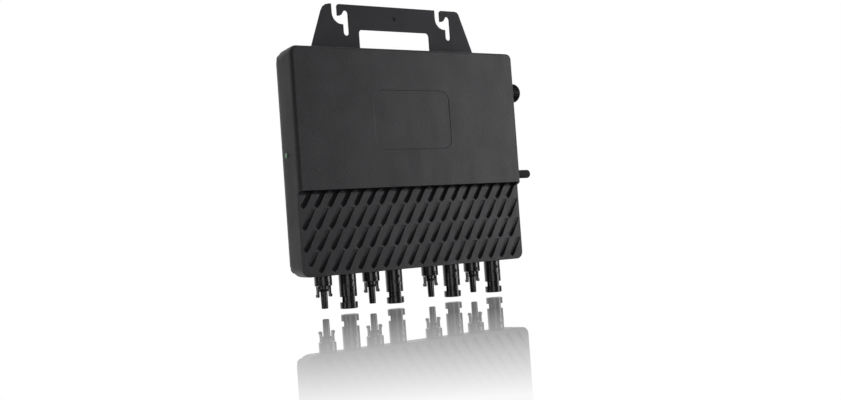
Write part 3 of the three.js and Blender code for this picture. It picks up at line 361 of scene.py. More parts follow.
class NodeBoard:
    """A short way to lay out a material's nodes."""

    def __init__(self, name: str) -> None:
        """Make an empty material.

        Args:
            name: The material's name.
        """
        self.material = bpy.data.materials.new(name)
        self.material.use_nodes = True
        self.tree = self.material.node_tree
        self.tree.nodes.clear()
        self.place = self.add("ShaderNodeTexCoord").outputs["Object"]

    def add(self, kind: str, **settings: object) -> bpy.types.Node:
        """Add a node, with its own properties set.

        Args:
            kind: The node's type.
            settings: Its properties.

        Returns:
            The node.
        """
        node = self.tree.nodes.new(kind)
        for key, value in settings.items():
            setattr(node, key, value)
        return node

    def feed(self, node: bpy.types.Node, **inputs: object) -> bpy.types.Node:
        """Link or set a node's inputs.

        Args:
            node: The node.
            inputs: A socket to link, or a value to set, for each input, with _ for a space.

        Returns:
            The node.
        """
        for key, value in inputs.items():
            socket = node.inputs[key.replace("_", " ")]
            if isinstance(value, bpy.types.NodeSocket):
                self.tree.links.new(value, socket)
            else:
                socket.default_value = value
        return node

    def stretched(self, scale: Triple) -> bpy.types.NodeSocket:
        """Return the object coordinates scaled by a factor along each axis."""
        node = self.add("ShaderNodeMapping")
        return self.feed(node, Vector=self.place, Scale=scale).outputs["Vector"]

    def noise(
        self, size: float, detail: float = 2, where: bpy.types.NodeSocket | None = None,
    ) -> bpy.types.NodeSocket:
        """Make soft noise.

        Args:
            size: Size of its blotches in metres.
            detail: Finer layers added to it.
            where: Coordinates, when they aren't the plain ones.

        Returns:
            The noise, from 0 to 1.
        """
        node = self.add("ShaderNodeTexNoise")
        return self.feed(node, Vector=where or self.place, Scale=1 / size, Detail=detail).outputs["Fac"]

    def cells(self, size: float, edges: bool = False) -> bpy.types.NodeSocket:
        """Make rounded cells of a size in metres, or the lines between them.

        Args:
            size: Size of a cell in metres.
            edges: Whether the distance is to the lines between cells.

        Returns:
            The distance in each cell.
        """
        feature = "DISTANCE_TO_EDGE" if edges else "SMOOTH_F1"
        node = self.add("ShaderNodeTexVoronoi", feature=feature)
        return self.feed(node, Vector=self.place, Scale=1 / size).outputs["Distance"]

    def spread(
        self, value: bpy.types.NodeSocket, source: Pair, target: Pair,
    ) -> bpy.types.NodeSocket:
        """Map a value from one range to another.

        Args:
            value: What is mapped.
            source: The range that it comes from.
            target: The range that it goes to.

        Returns:
            The mapped value.
        """
        node = self.add("ShaderNodeMapRange")
        self.feed(node, Value=value, From_Min=source[0], From_Max=source[1])
        return self.feed(node, To_Min=target[0], To_Max=target[1]).outputs["Result"]

    def sum(self, first: bpy.types.NodeSocket, second: bpy.types.NodeSocket) -> bpy.types.NodeSocket:
        """Add two values."""
        return self._math("ADD", first, second)

    def product(
        self, first: bpy.types.NodeSocket, second: bpy.types.NodeSocket | float,
    ) -> bpy.types.NodeSocket:
        """Multiply two values."""
        return self._math("MULTIPLY", first, second)

    def _math(
        self, operation: str, first: bpy.types.NodeSocket, second: bpy.types.NodeSocket | float,
    ) -> bpy.types.NodeSocket:
        """Combine two values.

        Args:
            operation: The name of the operation.
            first: The first value.
            second: The second value.

        Returns:
            The result.
        """
        node = self.add("ShaderNodeMath", operation=operation)
        self.tree.links.new(first, node.inputs[0])
        if isinstance(second, bpy.types.NodeSocket):
            self.tree.links.new(second, node.inputs[1])
        else:
            node.inputs[1].default_value = second
        return node.outputs["Value"]

    def blend(
        self, amount: bpy.types.NodeSocket, first: Triple | bpy.types.NodeSocket, second: Triple,
    ) -> bpy.types.NodeSocket:
        """Blend two colours by an amount.

        Args:
            amount: From 0, all the first, to 1, all the second.
            first: The first colour.
            second: The second colour.

        Returns:
            The blended colour.
        """
        node = self.add("ShaderNodeMix", data_type="RGBA")
        colour = {"A": 6, "B": 7}
        self.tree.links.new(amount, node.inputs[0])
        if isinstance(first, bpy.types.NodeSocket):
            self.tree.links.new(first, node.inputs[colour["A"]])
        else:
            node.inputs[colour["A"]].default_value = (*first, 1)
        node.inputs[colour["B"]].default_value = (*second, 1)
        return node.outputs[2]


MOTTLE_RANGE = (0.35, 0.68)  # part of the noise that the broad variation spans
TINT_SHARE = 0.55
RUBBED_RANGE = (0.35, 1)
PATCH_SIZE = 2.2  # mm; patches in which rubbed edges show
PATCH_RANGE = (0.42, 0.62)
SMEAR_SIZE = 0.45  # of the broad variation
SMEAR_STRETCH = (1, 1, 0.4)
SMEAR_RANGE = (0.3, 0.7)


@dataclass(frozen=True)
class Finish:
    """One surface finish, made as a node material the first time that it is used."""

    name: str
    slot: str
    colour: Triple
    mottle: Triple  # colour of the broad variation
    roughness: Pair
    grain: Grain
    grain_size: float = 0.7  # millimetres
    grain_depth: float = 0.02  # millimetres
    mottle_size: float = 14.0  # millimetres
    metallic: float = 0.0
    specular: float = 0.5
    coat: float = 0.0
    coat_roughness: float = 0.08
    sheen: float = 0.0
    worn: Triple = (0.2, 0.2, 0.2)  # colour of rubbed edges
    wear: float = 0.25  # how far rubbed edges show

    def material(self) -> bpy.types.Material:
        """Return the finish's material."""
        return bpy.data.materials.get(self.name) or self._made()

    def put_on(self, piece: bpy.types.Object) -> None:
        """Dress a piece or a node of the frame.

        Args:
            piece: What is dressed.
        """
        piece.data.materials.clear()
        piece.data.materials.append(self.material())
        for face in piece.data.polygons:
            face.material_index = 0

    def _made(self) -> bpy.types.Material:
        """Lay out the finish's nodes.

        Returns:
            The material.
        """
        board = NodeBoard(self.name)
        height, tint = self._structure(board)
        broad = board.noise(self.mottle_size * MM, 3)
        colour = board.blend(board.spread(broad, MOTTLE_RANGE, (0, 1)), self.colour, self.mottle)
        if tint is not None:
            colour = board.blend(board.product(tint, TINT_SHARE), colour, self.mottle)
        rubbed = board.feed(board.add("ShaderNodeAttribute", attribute_name="wear")).outputs["Fac"]
        patches = board.spread(board.noise(PATCH_SIZE * MM, 3), PATCH_RANGE, (0, self.wear))
        worn = board.product(board.spread(rubbed, RUBBED_RANGE, (0, 1)), patches)
        colour = board.blend(worn, colour, self.worn)
        smear = board.noise(self.mottle_size * SMEAR_SIZE * MM, 4, board.stretched(SMEAR_STRETCH))
        rough = board.spread(smear, SMEAR_RANGE, self.roughness)
        bump = board.feed(
            board.add("ShaderNodeBump"), Height=height, Strength=1.0,
            Distance=self.grain_depth * MM,
        )
        shader = board.feed(
            board.add("ShaderNodeBsdfPrincipled"), Base_Color=colour, Roughness=rough,
            Normal=bump.outputs["Normal"], Metallic=self.metallic, Coat_Weight=self.coat,
            Coat_Roughness=self.coat_roughness, Sheen_Weight=self.sheen,
            Specular_IOR_Level=self.specular,
        )
        board.feed(board.add("ShaderNodeOutputMaterial"), Surface=shader.outputs["BSDF"])
        return board.material

    def _structure(
        self, board: NodeBoard,
    ) -> tuple[bpy.types.NodeSocket, bpy.types.NodeSocket | None]:
        """Make the finish's fine structure.

        Args:
            board: The material's nodes.

        Returns:
            The height of the surface, and the tint that goes with it, if there is one.
        """
        size = self.grain_size * MM
        if self.grain is Grain.POWDER:
            pebbles = board.spread(board.cells(size), (0, 0.6), (1, 0))
            return board.sum(pebbles, board.noise(size * 0.45, 2)), board.noise(size * 1.3, 2)
        if self.grain is Grain.SATIN:
            return board.noise(size * 2.4, 1), None
        if self.grain is Grain.MOULDED:
            return board.noise(size, 3), None
        if self.grain is Grain.PLATED:
            lines = board.noise(size, 2, board.stretched((1, 1, 0.06)))
            return board.sum(lines, board.noise(size * 2)), lines
        if self.grain is Grain.LAMINATE:
            tracks = board.spread(board.cells(size * 9, edges=True), (0.02, 0.06), (1, 0))
            return board.sum(tracks, board.noise(size, 1)), tracks
        if self.grain is Grain.WOUND:
            turns = board.add("ShaderNodeTexWave", wave_type="BANDS", bands_direction="Z")
            board.feed(turns, Vector=board.place, Scale=0.16 / size, Distortion=0.6, Detail=1.0)
            return turns.outputs["Fac"], turns.outputs["Fac"]
        return board.sum(board.noise(size), board.noise(size * 4)), None


CASTING = Finish(
    "cast_housing_coat", "cast_housing", (0.031, 0.031, 0.035), (0.042, 0.042, 0.047),
    (0.46, 0.54), Grain.POWDER, grain_size=1.3, grain_depth=0.09, mottle_size=38,
    specular=0.4, worn=(0.13, 0.13, 0.135), wear=0.3,
)
PLATE = Finish(
    "bracket_coat", "bracket_plate", (0.048, 0.048, 0.053), (0.056, 0.056, 0.062),
    (0.6, 0.68), Grain.SATIN, grain_size=1.1, grain_depth=0.03, mottle_size=30,
    specular=0.24, worn=(0.2, 0.2, 0.21), wear=0.35,
)
MOULDING = Finish(
    "connector_moulding", "connector_plastic", (0.0042, 0.0042, 0.0045), (0.008, 0.008, 0.0085),
    (0.2, 0.32), Grain.MOULDED, grain_size=0.35, grain_depth=0.006, mottle_size=9,
    specular=0.5, coat=0.4, worn=(0.06, 0.06, 0.06), wear=0.25,
)
SEAL_RUBBER = Finish(
    "seal_rubber", "sealing_rubber", (0.009, 0.009, 0.009), (0.016, 0.016, 0.016),
    (0.62, 0.8), Grain.MOULDED, grain_size=0.5, grain_depth=0.02, mottle_size=5,
    specular=0.35, sheen=0.08, wear=0.1,
)
AERIAL_RUBBER = Finish(
    "aerial_rubber", "aerial_rubber", (0.004, 0.004, 0.004), (0.007, 0.007, 0.007),
    (0.34, 0.46), Grain.MOULDED, grain_size=0.4, grain_depth=0.01, mottle_size=8,
    specular=0.15, wear=0.15,
)
GLAND_NYLON = Finish(
    "gland_nylon", "connector_plastic", (0.0024, 0.0024, 0.0026), (0.0045, 0.0045, 0.0048),
    (0.42, 0.54), Grain.MOULDED, grain_size=0.35, grain_depth=0.008, mottle_size=7,
    specular=0.12, worn=(0.04, 0.04, 0.04), wear=0.1,
)
STEEL = Finish(
    "zinc_steel", "screw_steel", (0.42, 0.42, 0.43), (0.55, 0.54, 0.50),
    (0.24, 0.42), Grain.PLATED, grain_size=0.25, grain_depth=0.006, mottle_size=3,
    metallic=1.0, worn=(0.7, 0.7, 0.7), wear=0.4,
)
TIN = Finish(
    "tinned_contact", "contact_metal", (0.66, 0.64, 0.58), (0.74, 0.72, 0.68),
    (0.16, 0.3), Grain.PLATED, grain_size=0.2, grain_depth=0.004, mottle_size=2.5,
    metallic=1.0, worn=(0.72, 0.45, 0.25), wear=0.2,
)
LENS = Finish(
    "lamp_lens", "lamp_lens", (0.006, 0.012, 0.008), (0.012, 0.022, 0.014),
    (0.08, 0.16), Grain.SATIN, grain_size=0.6, grain_depth=0.004, mottle_size=1.5,
    specular=0.6, coat=0.5, wear=0.05,
)
LAMINATE = Finish(
    "board_laminate", "board_laminate", (0.006, 0.06, 0.02), (0.02, 0.16, 0.055),
    (0.3, 0.44), Grain.LAMINATE, grain_size=0.6, grain_depth=0.03, mottle_size=30,
    worn=(0.4, 0.33, 0.12), wear=0.2,
)
FERRITE = Finish(
    "ferrite_and_tape", "ferrite", (0.022, 0.022, 0.024), (0.045, 0.042, 0.036),
    (0.5, 0.7), Grain.WOUND, grain_size=0.8, grain_depth=0.08, mottle_size=6,
    worn=(0.12, 0.12, 0.12), wear=0.3,
)
SLEEVE = Finish(
    "capacitor_sleeve", "capacitor_sleeve", (0.008, 0.012, 0.035), (0.014, 0.02, 0.05),
    (0.22, 0.36), Grain.SATIN, grain_size=1.2, grain_depth=0.02, mottle_size=7, coat=0.2,
)
CASE = Finish(
    "component_case", "component_case", (0.02, 0.02, 0.024), (0.03, 0.03, 0.034),
    (0.35, 0.5), Grain.MOULDED, grain_size=0.4, grain_depth=0.015, mottle_size=8,
)
SHIELD = Finish(
    "screening_can", "radio_shield", (0.58, 0.58, 0.56), (0.66, 0.66, 0.64),
    (0.22, 0.36), Grain.PLATED, grain_size=0.4, grain_depth=0.006, mottle_size=5,
    metallic=1.0, worn=(0.75, 0.75, 0.75),
)
PAD = Finish(
    "silicone_pad", "thermal_pad", (0.24, 0.25, 0.27), (0.3, 0.31, 0.33),
    (0.7, 0.86), Grain.SPONGY, grain_size=0.7, grain_depth=0.06, mottle_size=5, specular=0.3,
)
FINISHES = [
    CASTING, PLATE, MOULDING, SEAL_RUBBER, AERIAL_RUBBER, STEEL, TIN, LENS, LAMINATE, FERRITE,
    SLEEVE, CASE, SHIELD, PAD,
]


def dress_frame() -> None:
    """Give every node of the frame its finish."""
    by_slot = {finish.slot: finish for finish in FINISHES}
    for part in frame["record"]["subparts"]:
        by_slot[part["material_slot"]].put_on(frame["nodes"][part["node"]])
        log.info("dressed %s", part["node"])


# ---------------------------------------------------------------- places


def middle(node: str) -> Vector:
    """Return the middle of a node's box, in millimetres."""
    low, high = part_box(node)
    return (Vector(low) + Vector(high)) / 2 / MM


def low_corner(node: str) -> Vector:
    """Return the lowest corner of a node's box, in millimetres."""
    return Vector(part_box(node)[0]) / MM


def high_corner(node: str) -> Vector:
    """Return the highest corner of a node's box, in millimetres."""
    return Vector(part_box(node)[1]) / MM


def screwed_from_behind(node: str) -> Matrix:
    """Return the place of a screw whose top lies at the back of its node's box."""
    back = Vector((middle(node).x, high_corner(node).y, middle(node).z))
    return Matrix.Translation(back) @ Matrix.Rotation(-math.pi / 2, 4, "X")


def on_right_side(node: str) -> Matrix:
    """Return the place on the housing's right side where a node's axis comes out."""
    place = Vector((high_corner("housing").x, middle(node).y, middle(node).z))
    return Matrix.Translation(place) @ Matrix.Rotation(math.pi / 2, 4, "Y")


def in_scene(name: str, data: bpy.types.ID) -> bpy.types.Object:
    """Make an object and put it in the scene.

    Args:
        name: Its name.
        data: Its mesh, camera or light.

    Returns:
        The object.
    """
    made = bpy.data.objects.new(name, data)
    bpy.context.scene.collection.objects.link(made)
    return made


# ---------------------------------------------------------------- casing


@dataclass
class Casing:
    """The cast housing, its rear cover, and what closes them."""

    edge: float = 0.32  # rounding of the casting's edges
    rows: int = 4
    row_pitch: float = 21.7
    first_row: float = 13.0  # height of the lowest slots' middles
    badge_level: float = 156.0  # height of the badge field's middle
    cover_edge: float = 0.35
    screw_radius: float = 3.6
    screw_head: float = 2.2
    screw_shank: float = 2
    screw_length: float = 14
    recess_radius: float = 1.75

    def build(self) -> None:
        """Build every piece of the casing."""
        self.housing()
        self.rear_cover()
        self.cover_screws()

    def housing(self) -> None:
        """Round the casting's edges."""
        foot = low_corner("housing").z
        levels = [foot + self.first_row + row * self.row_pitch for row in range(self.rows)]
        shell = Form.of_node("housing", (*levels, foot + self.badge_level))
        shell.softened(self.edge, 2, CAST_CREASE)
        shell.piece("housing_casting", CASTING, replaces=("housing",))

    def rear_cover(self) -> None:
        """Round the rear cover's edges."""
        plate = Form.of_node("rear_cover").softened(self.cover_edge, 2, CAST_CREASE)
        plate.piece("rear_cover_plate", CASTING, replaces=("rear_cover",))

    def cover_screws(self) -> None:
        """Finish the cover's screws as pan-headed ones with a star recess."""
        for node in sorted(name for name in frame["nodes"] if name.startswith("cover_screw_")):
            screw = star_screw(
                self.screw_radius, self.screw_head, self.recess_radius, self.screw_shank,
                self.screw_length,
            )
            screw.piece(f"{node}_finished", STEEL, screwed_from_behind(node), replaces=(node,))


STAR_CORNERS = 12  # inner and outer ones
STAR_INNER = 0.72  # inner radius as a share of the outer one
STAR_DEPTH = 0.62  # share of the head's height
CROWN = 0.45  # share of the head's height that is domed
STAR_SOFTENING = 0.12


def star_screw(head: float, rise: float, recess: float, shank: float, length: float) -> Form:
    """Make a pan-headed screw with a star recess, its top at the origin, facing +Z.

    Args:
        head: Radius of the head.
        rise: Height of the head.
        recess: Outer radius of the recess.
        shank: Radius of the shank.
        length: Length under the head's top.

    Returns:
        The screw.
    """
    crown = [
        (head * math.sin(angle), (math.cos(angle) - 1) * rise * CROWN)
        for angle in quarter(15)
    ]
    body = Form.turned([
        *crown, (head, -rise), (shank, -rise), (shank, -length + 1), (0, -length),
    ], SMALL_TURN)
    star = [
        (radius * math.cos(angle), radius * math.sin(angle))
        for step in range(STAR_CORNERS)
        for angle in [step * math.tau / STAR_CORNERS]
        for radius in [recess if step % 2 == 0 else recess * STAR_INNER]
    ]
    socket = Form.prism(star, -1, rise * STAR_DEPTH).moved(Matrix.Rotation(-math.pi / 2, 4, "X"))
    return body.less(socket).softened(STAR_SOFTENING, 1, SCREW_CREASE)


# ---------------------------------------------------------------- bracket


@dataclass
class Bracket:
    """The pressed plate that hangs the inverter on its rail, and its screws."""

    edge: float = 0.3
    screw_head: float = 4.6
    screw_shank: float = 2.5
    screw_length: float = 8
    screw_tip: float = 0.8
    recess_radius: float = 1.9
    recess_depth: float = 1.3

    def build(self) -> None:
        """Build the plate and its countersunk screws."""
        plate = Form.of_node("mounting_bracket").softened(self.edge, 2, PLATE_CREASE)
        plate.piece("hanging_plate", PLATE, replaces=("mounting_bracket",))
        for node in sorted(name for name in frame["nodes"] if name.startswith("bracket_screw_")):
            screw, place = self.countersunk_screw(), screwed_from_behind(node)
            screw.piece(f"{node}_finished", STEEL, place, replaces=(node,))

    def countersunk_screw(self) -> Form:
        """Make a countersunk screw with a six-sided recess, its top at the origin, facing +Z.

        Returns:
            The screw.
        """
        radius, shank, length = self.screw_head, self.screw_shank, self.screw_length
        body = Form.turned([
            (0, 0), (radius - 0.25, 0), (radius, -0.15), (shank, -(radius - shank)),
            (shank, self.screw_tip - length), (0, -length),
        ], SMALL_TURN)
        socket = Form.hexagon(self.recess_radius, -self.recess_depth, 1)
        return body.less(socket).softened(0.1, 1, SCREW_CREASE)


# ---------------------------------------------------------------- DC connectors


class Side(Enum):
    """The two latch arms of a plug."""

    LEFT = -1
    RIGHT = 1


@dataclass
class Connectors:
    """The plugs and sockets along the foot, drawn with the housing's foot at z = 0."""

    count: int = 4
    collar: float = 9.0
    neck: float = 7.0
    neck_top: float = 9.0
    seat: float = -0.3
    collar_foot: float = -10.2
    shoulder: float = 5.2
    shoulder_foot: float = -14.0
    nose: Pair = (3.7, 3.45)  # radius at its root and at its tip
    nose_tip: float = -33.2
    nose_bore: float = 2.85
    pip: float = 1.8
    pip_height: float = -7.0
    pip_out: float = 0.9
    latch_inner: float = 6.2
    latch_outer: float = 7.7
    latch_barb: float = 8.6
    latch_root: float = -10.5
    latch_tip: float = -21.6
    latch_width: float = 4.4
    socket_shelf: float = -23.3
    socket_waist: float = -28.8
    socket_foot: float = -35.52  # 0.08 above the node's foot; softening reaches lower beside the rib
    socket_bore: float = 4.3
    bore_top: float = -13.0
    waist: float = 6.6
    channel: Triple = (7.9, 2.6, -22.5)  # half width, half depth and top
    rib_out: float = 0.7
    rounding: float = 0.16
    groove: Pair = (0.9, 0.75)  # width and depth
    groove_top: float = -1.6
    groove_turns: tuple[float, ...] = (-38, 38, 142, 218)  # degrees

    def build(self) -> None:
        """Build each plug and socket in turn."""
        plug, socket = self.plug(), self.socket()
        for number in range(1, self.count + 1):
            place = self.place(f"dc_plug_contact_{number}")
            plug.copy().piece(
                f"solar_plug_{number}", MOULDING, place, replaces=(f"dc_plug_{number}",),
            )
            self.contact().piece(
                f"plug_sleeve_{number}", TIN, place, replaces=(f"dc_plug_contact_{number}",),
            )
            self.nose_seal().piece(f"plug_nose_seal_{number}", SEAL_RUBBER, place)
            for side in Side:
                self.latch(number, side, place)
            place = self.place(f"dc_socket_pin_{number}")
            socket.copy().piece(
                f"solar_socket_{number}", MOULDING, place, replaces=(f"dc_socket_{number}",),
            )
            self.pin().piece(
                f"socket_contact_{number}", TIN, place, replaces=(f"dc_socket_pin_{number}",),
            )

    def place(self, node: str) -> Matrix:
        """Return where a connector's axis stands, from the contact inside it."""
        axis = middle(node)
        return Matrix.Translation((axis.x, axis.y, low_corner("housing").z))

    def front_pip(self) -> Form:
        """Make the round pip on the front of a collar.

        Returns:
            The pip.
        """
        mesh = bmesh.new()
        centre = Matrix.Translation((0, self.pip - self.collar - self.pip_out, self.pip_height))
        bmesh.ops.create_uvsphere(mesh, u_segments=24, v_segments=14, radius=self.pip, matrix=centre)
        return Form(mesh)

    def flank_grooves(self, low: float, high: float) -> list[Form]:
        """Make the cutters of the upright grooves that frame a collar's flat flanks.

        Args:
            low: Height of their feet.
            high: Height of their tops.

        Returns:
            One cutter for each groove.
        """
        width, depth = self.groove
        grooves = []
        for angle in self.groove_turns:
            near, far = (self.collar - depth, -width / 2, low), (self.collar + 2, width / 2, high)
            groove = Form.block(near, far)
            grooves.append(groove.moved(Matrix.Rotation(math.radians(angle), 4, "Z")))
        return grooves

    def plug(self) -> Form:
        """Make a plug: plain neck, collar, shoulder and long bored nose.

        Returns:
            The plug.
        """
        root, tip = self.nose
        body = Form.turned([
            (0, self.neck_top), (self.neck, self.neck_top), (self.neck, self.seat),
            (self.collar, self.seat), (self.collar, self.collar_foot + 0.5),
            (self.collar - 0.5, self.collar_foot), (self.shoulder, self.collar_foot),
            (self.shoulder, self.shoulder_foot + 0.5), (self.shoulder - 0.5, self.shoulder_foot),
            (root, self.shoulder_foot), (tip, self.nose_tip + 0.6), (tip - 0.4, self.nose_tip),
            (0, self.nose_tip),
        ])
        bore = Form.rod(self.nose_bore, self.nose_tip - 1, self.nose_tip + 15.5, SMALL_TURN)
        body = body.plus(self.front_pip())
        body = body.less(bore, *self.flank_grooves(self.collar_foot - 1, self.groove_top))
        return body.softened(self.rounding, 2, MOULD_CREASE)

    def contact(self) -> Form:
        """Make the split tin-plated sleeve in a plug's nose.

        Returns:
            The sleeve.
        """
        low, outer, wall = self.nose_tip + 1.2, self.nose_bore - 0.3, 0.55
        inner = outer - wall
        sleeve = Form.turned([
            (0, low + 14), (outer, low + 14), (outer, low + 0.3), (outer - 0.2, low),
            (inner + 0.15, low), (inner, low + 0.3), (inner, low + 12), (0, low + 12),
        ], SMALL_TURN)
        slits = [
            Form.block((-0.2, -4, low - 1), (0.2, 4, low + 5)),
            Form.block((-4, -0.2, low - 1), (4, 0.2, low + 5)),
        ]
        return sleeve.less(*slits)

    def nose_seal(self) -> Form:
        """Make the rubber ring round a plug's nose, under its shoulder.

        Returns:
            The ring.
        """
        root, thickness = self.nose[0] - 0.03, 1.1
        top = self.shoulder_foot - 0.05
        return Form.turned([
            (root, top), (root + thickness - 0.3, top), (root + thickness, top - 0.4),
            (root + thickness - 0.25, top - 0.9), (root + thickness, top - 1.4),
            (root + thickness - 0.3, top - 1.8), (root, top - 1.8), (root, top),
        ])

    def latch(self, number: int, side: Side, place: Matrix) -> None:
        """Build one sprung latch arm.

        Args:
            number: The plug's number.
            side: Which side of the plug it stands on.
            place: Where the plug's axis stands.
        """
        tip, barb = self.latch_tip, self.latch_barb
        outline = [
            (self.latch_inner, tip + 1.4), (self.latch_inner + 0.25, tip + 0.4),
            (self.latch_inner + 0.9, tip), (self.latch_outer + 0.2, tip), (barb, tip + 1.1),
            (barb, tip + 2.8), (self.latch_outer, tip + 3.4), (self.latch_outer - 0.15, tip + 7),
            (self.latch_outer, self.latch_root - 0.8), (self.latch_outer + 0.4, self.latch_root),
            (self.latch_inner - 0.3, self.latch_root), (self.latch_inner, self.latch_root - 0.8),
        ]
        arm = Form.prism(outline, -self.latch_width / 2, self.latch_width / 2)
        arm.softened(0.28, 2, math.radians(30))
        if side is Side.LEFT:
            arm.moved(Matrix.Rotation(math.pi, 4, "Z"))
        word = side.name.lower()
        arm.piece(
            f"latch_spring_{number}_{word}", MOULDING, place, f"latch_{number}_{word}",
            (f"latch_arm_{number}_{word}",),
        )

    def fork_rib(self) -> Form:
        """Make the fork-shaped rib that stands proud on a socket's front.

        Returns:
            The rib.
        """
        half, spread, arm = 1.3, 4.6, 1.7
        foot, fork, top = self.socket_foot + 0.05, -17.5, -10.8
        outline = [
            (-half, foot), (half, foot), (half, fork), (spread, top - arm), (spread, top),
            (spread - arm, top), (0, fork + arm), (arm - spread, top), (-spread, top),
            (-spread, top - arm), (-half, fork),
        ]
        slab = Form.prism(outline, -self.collar - 2, -self.collar + 3)
        skin = Form.rod(self.collar + self.rib_out, self.socket_foot - 1, 0)
        return slab._combined([skin], "INTERSECT")

    def socket(self) -> Form:
        """Make a socket: neck, grooved barrel, open waist and end collar.

        Returns:
            The socket.
        """
        radius, lip = self.collar, self.collar + 0.2
        body = Form.turned([
            (0, self.neck_top), (self.neck, self.neck_top), (self.neck, self.seat),
            (radius, self.seat), (radius, self.socket_shelf), (self.waist, self.socket_shelf),
            (self.waist, self.socket_waist), (lip, self.socket_waist), (lip, self.socket_foot + 0.6),
            (radius - 0.4, self.socket_foot), (0, self.socket_foot),
        ])
        half, depth, top = self.channel
        bore = Form.rod(self.socket_bore, self.socket_foot - 1, self.bore_top, SMALL_TURN)
        channel = Form.block((-half, -depth, self.socket_foot - 1), (half, depth, top))
        body = body.plus(self.front_pip(), self.fork_rib())
        body = body.less(bore, channel, *self.flank_grooves(self.socket_shelf - 0.5, self.groove_top))
        return body.softened(self.rounding, 2, MOULD_CREASE)

    def pin(self) -> Form:
        """Make the round contact pin in a socket's bore.

        Returns:
            The pin.
        """
        radius, tip, top = 2.0, -30.6, self.bore_top - 0.3
        crown = [
            (radius * math.sin(angle), tip + radius * 0.7 * (1 - math.cos(angle)))
            for angle in quarter(15)
        ]
        return Form.turned([*crown, (radius, top), (0, top)], SMALL_TURN)


# ---------------------------------------------------------------- AC gland


@dataclass
class CableGland:
    """The gland on the right side, drawn about +Z with the housing's side at z = 0."""

    neck: float = 8.0
    hexagon: float = 12.1
    seat: float = 1.8
    hexagon_top: float = 5.8
    barrel: float = 8.6
    barrel_top: float = 16.3
    bore: float = 5.6
    nut: float = 10.85
    nut_foot: float = 6.1
    nut_end: float = 21.3
    dome: float = 6.5
    nut_wall: float = 4.4
    flutes: int = 10
    flute: float = 1.1
    cable_hole: float = 4.8
    seal_bore: float = 4.5

    def build(self) -> None:
        """Build the gland's four pieces."""
        place = on_right_side("ac_gland_cap_nut")
        self.body().piece("gland_body", GLAND_NYLON, place, replaces=("ac_gland_body",))
        self.flange_seal().piece(
            "gland_flange_seal", SEAL_RUBBER, place, replaces=("ac_gland_flange_seal",),
        )
        self.cable_seal().piece(
            "gland_cable_seal", SEAL_RUBBER, place, replaces=("ac_gland_cable_seal",),
        )
        self.cap_nut().piece("gland_cap_nut", GLAND_NYLON, place, "cap_nut", ("ac_gland_cap_nut",))

    def body(self) -> Form:
        """Make the gland's body: neck, hexagon and bored barrel.

        Returns:
            The body.
        """
        neck = Form.rod(self.neck, -10, self.seat + 0.2)
        hexagon = Form.hexagon(self.hexagon, self.seat, self.hexagon_top).softened(0.4, 2)
        barrel = Form.rod(self.barrel, self.seat + 0.5, self.barrel_top)
        seal_seat = Form.rod(self.bore + 0.8, self.barrel_top - 8, self.barrel_top + 1)
        return hexagon.plus(neck, barrel).less(Form.rod(self.bore, -11, self.barrel_top + 1), seal_seat)

    def flange_seal(self) -> Form:
        """Make the flat seal between the hexagon and the housing.

        Returns:
            The seal.
        """
        inner, outer, low, high = self.neck + 0.3, self.hexagon * 0.86, 0.3, self.seat - 0.3
        return Form.turned([
            (inner, low), (outer - 0.15, low), (outer, (low + high) / 2), (outer - 0.15, high),
            (inner, high), (inner, low),
        ])

    def cable_seal(self) -> Form:
        """Make the soft sleeve that grips the cable.

        Returns:
            The sleeve.
        """
        inner, outer = self.seal_bore, self.bore + 0.5
        low, high = self.barrel_top - 7.7, self.barrel_top - 0.3
        return Form.turned([
            (inner, low + 0.5), (outer - 0.3, low), (outer, low + 0.4), (outer, high - 0.4),
            (outer - 0.4, high), (inner + 0.4, high), (inner, high - 0.5), (inner, low + 0.5),
        ])

    def cap_nut(self) -> Form:
        """Make the fluted nut with its domed end and the cable's hole.

        Returns:
            The nut.
        """
        inset = self.nut - self.cable_hole - 0.4
        dome = [
            (
                self.nut - inset * (1 - math.cos(angle)),
                self.nut_end - self.dome * (1 - math.sin(angle)),
            )
            for angle in quarter(9)
        ]
        inner = self.barrel + 0.3
        body = Form.turned([
            (inner, self.nut_foot), (self.nut - 0.3, self.nut_foot), (self.nut, self.nut_foot + 0.3),
            *dome, (self.cable_hole, self.nut_end - 0.3),
            (self.cable_hole, self.nut_end - self.nut_wall), (inner, self.nut_end - self.nut_wall - 0.2),
            (inner, self.nut_foot),
        ], 96)
        cutters = []
        for index in range(self.flutes):
            cutter = Form.rod(self.flute, self.nut_foot - 1, self.nut_end - 4.5, 20)
            cutter.softened(0.5, 3)
            turn = Matrix.Rotation(index * math.tau / self.flutes, 4, "Z")
            cutters.append(cutter.moved(turn @ Matrix.Translation((self.nut + 0.5, 0, 0))))
        return body.less(*cutters).softened(0.15, 2, MOULD_CREASE)


# ---------------------------------------------------------------- aerial and lamp


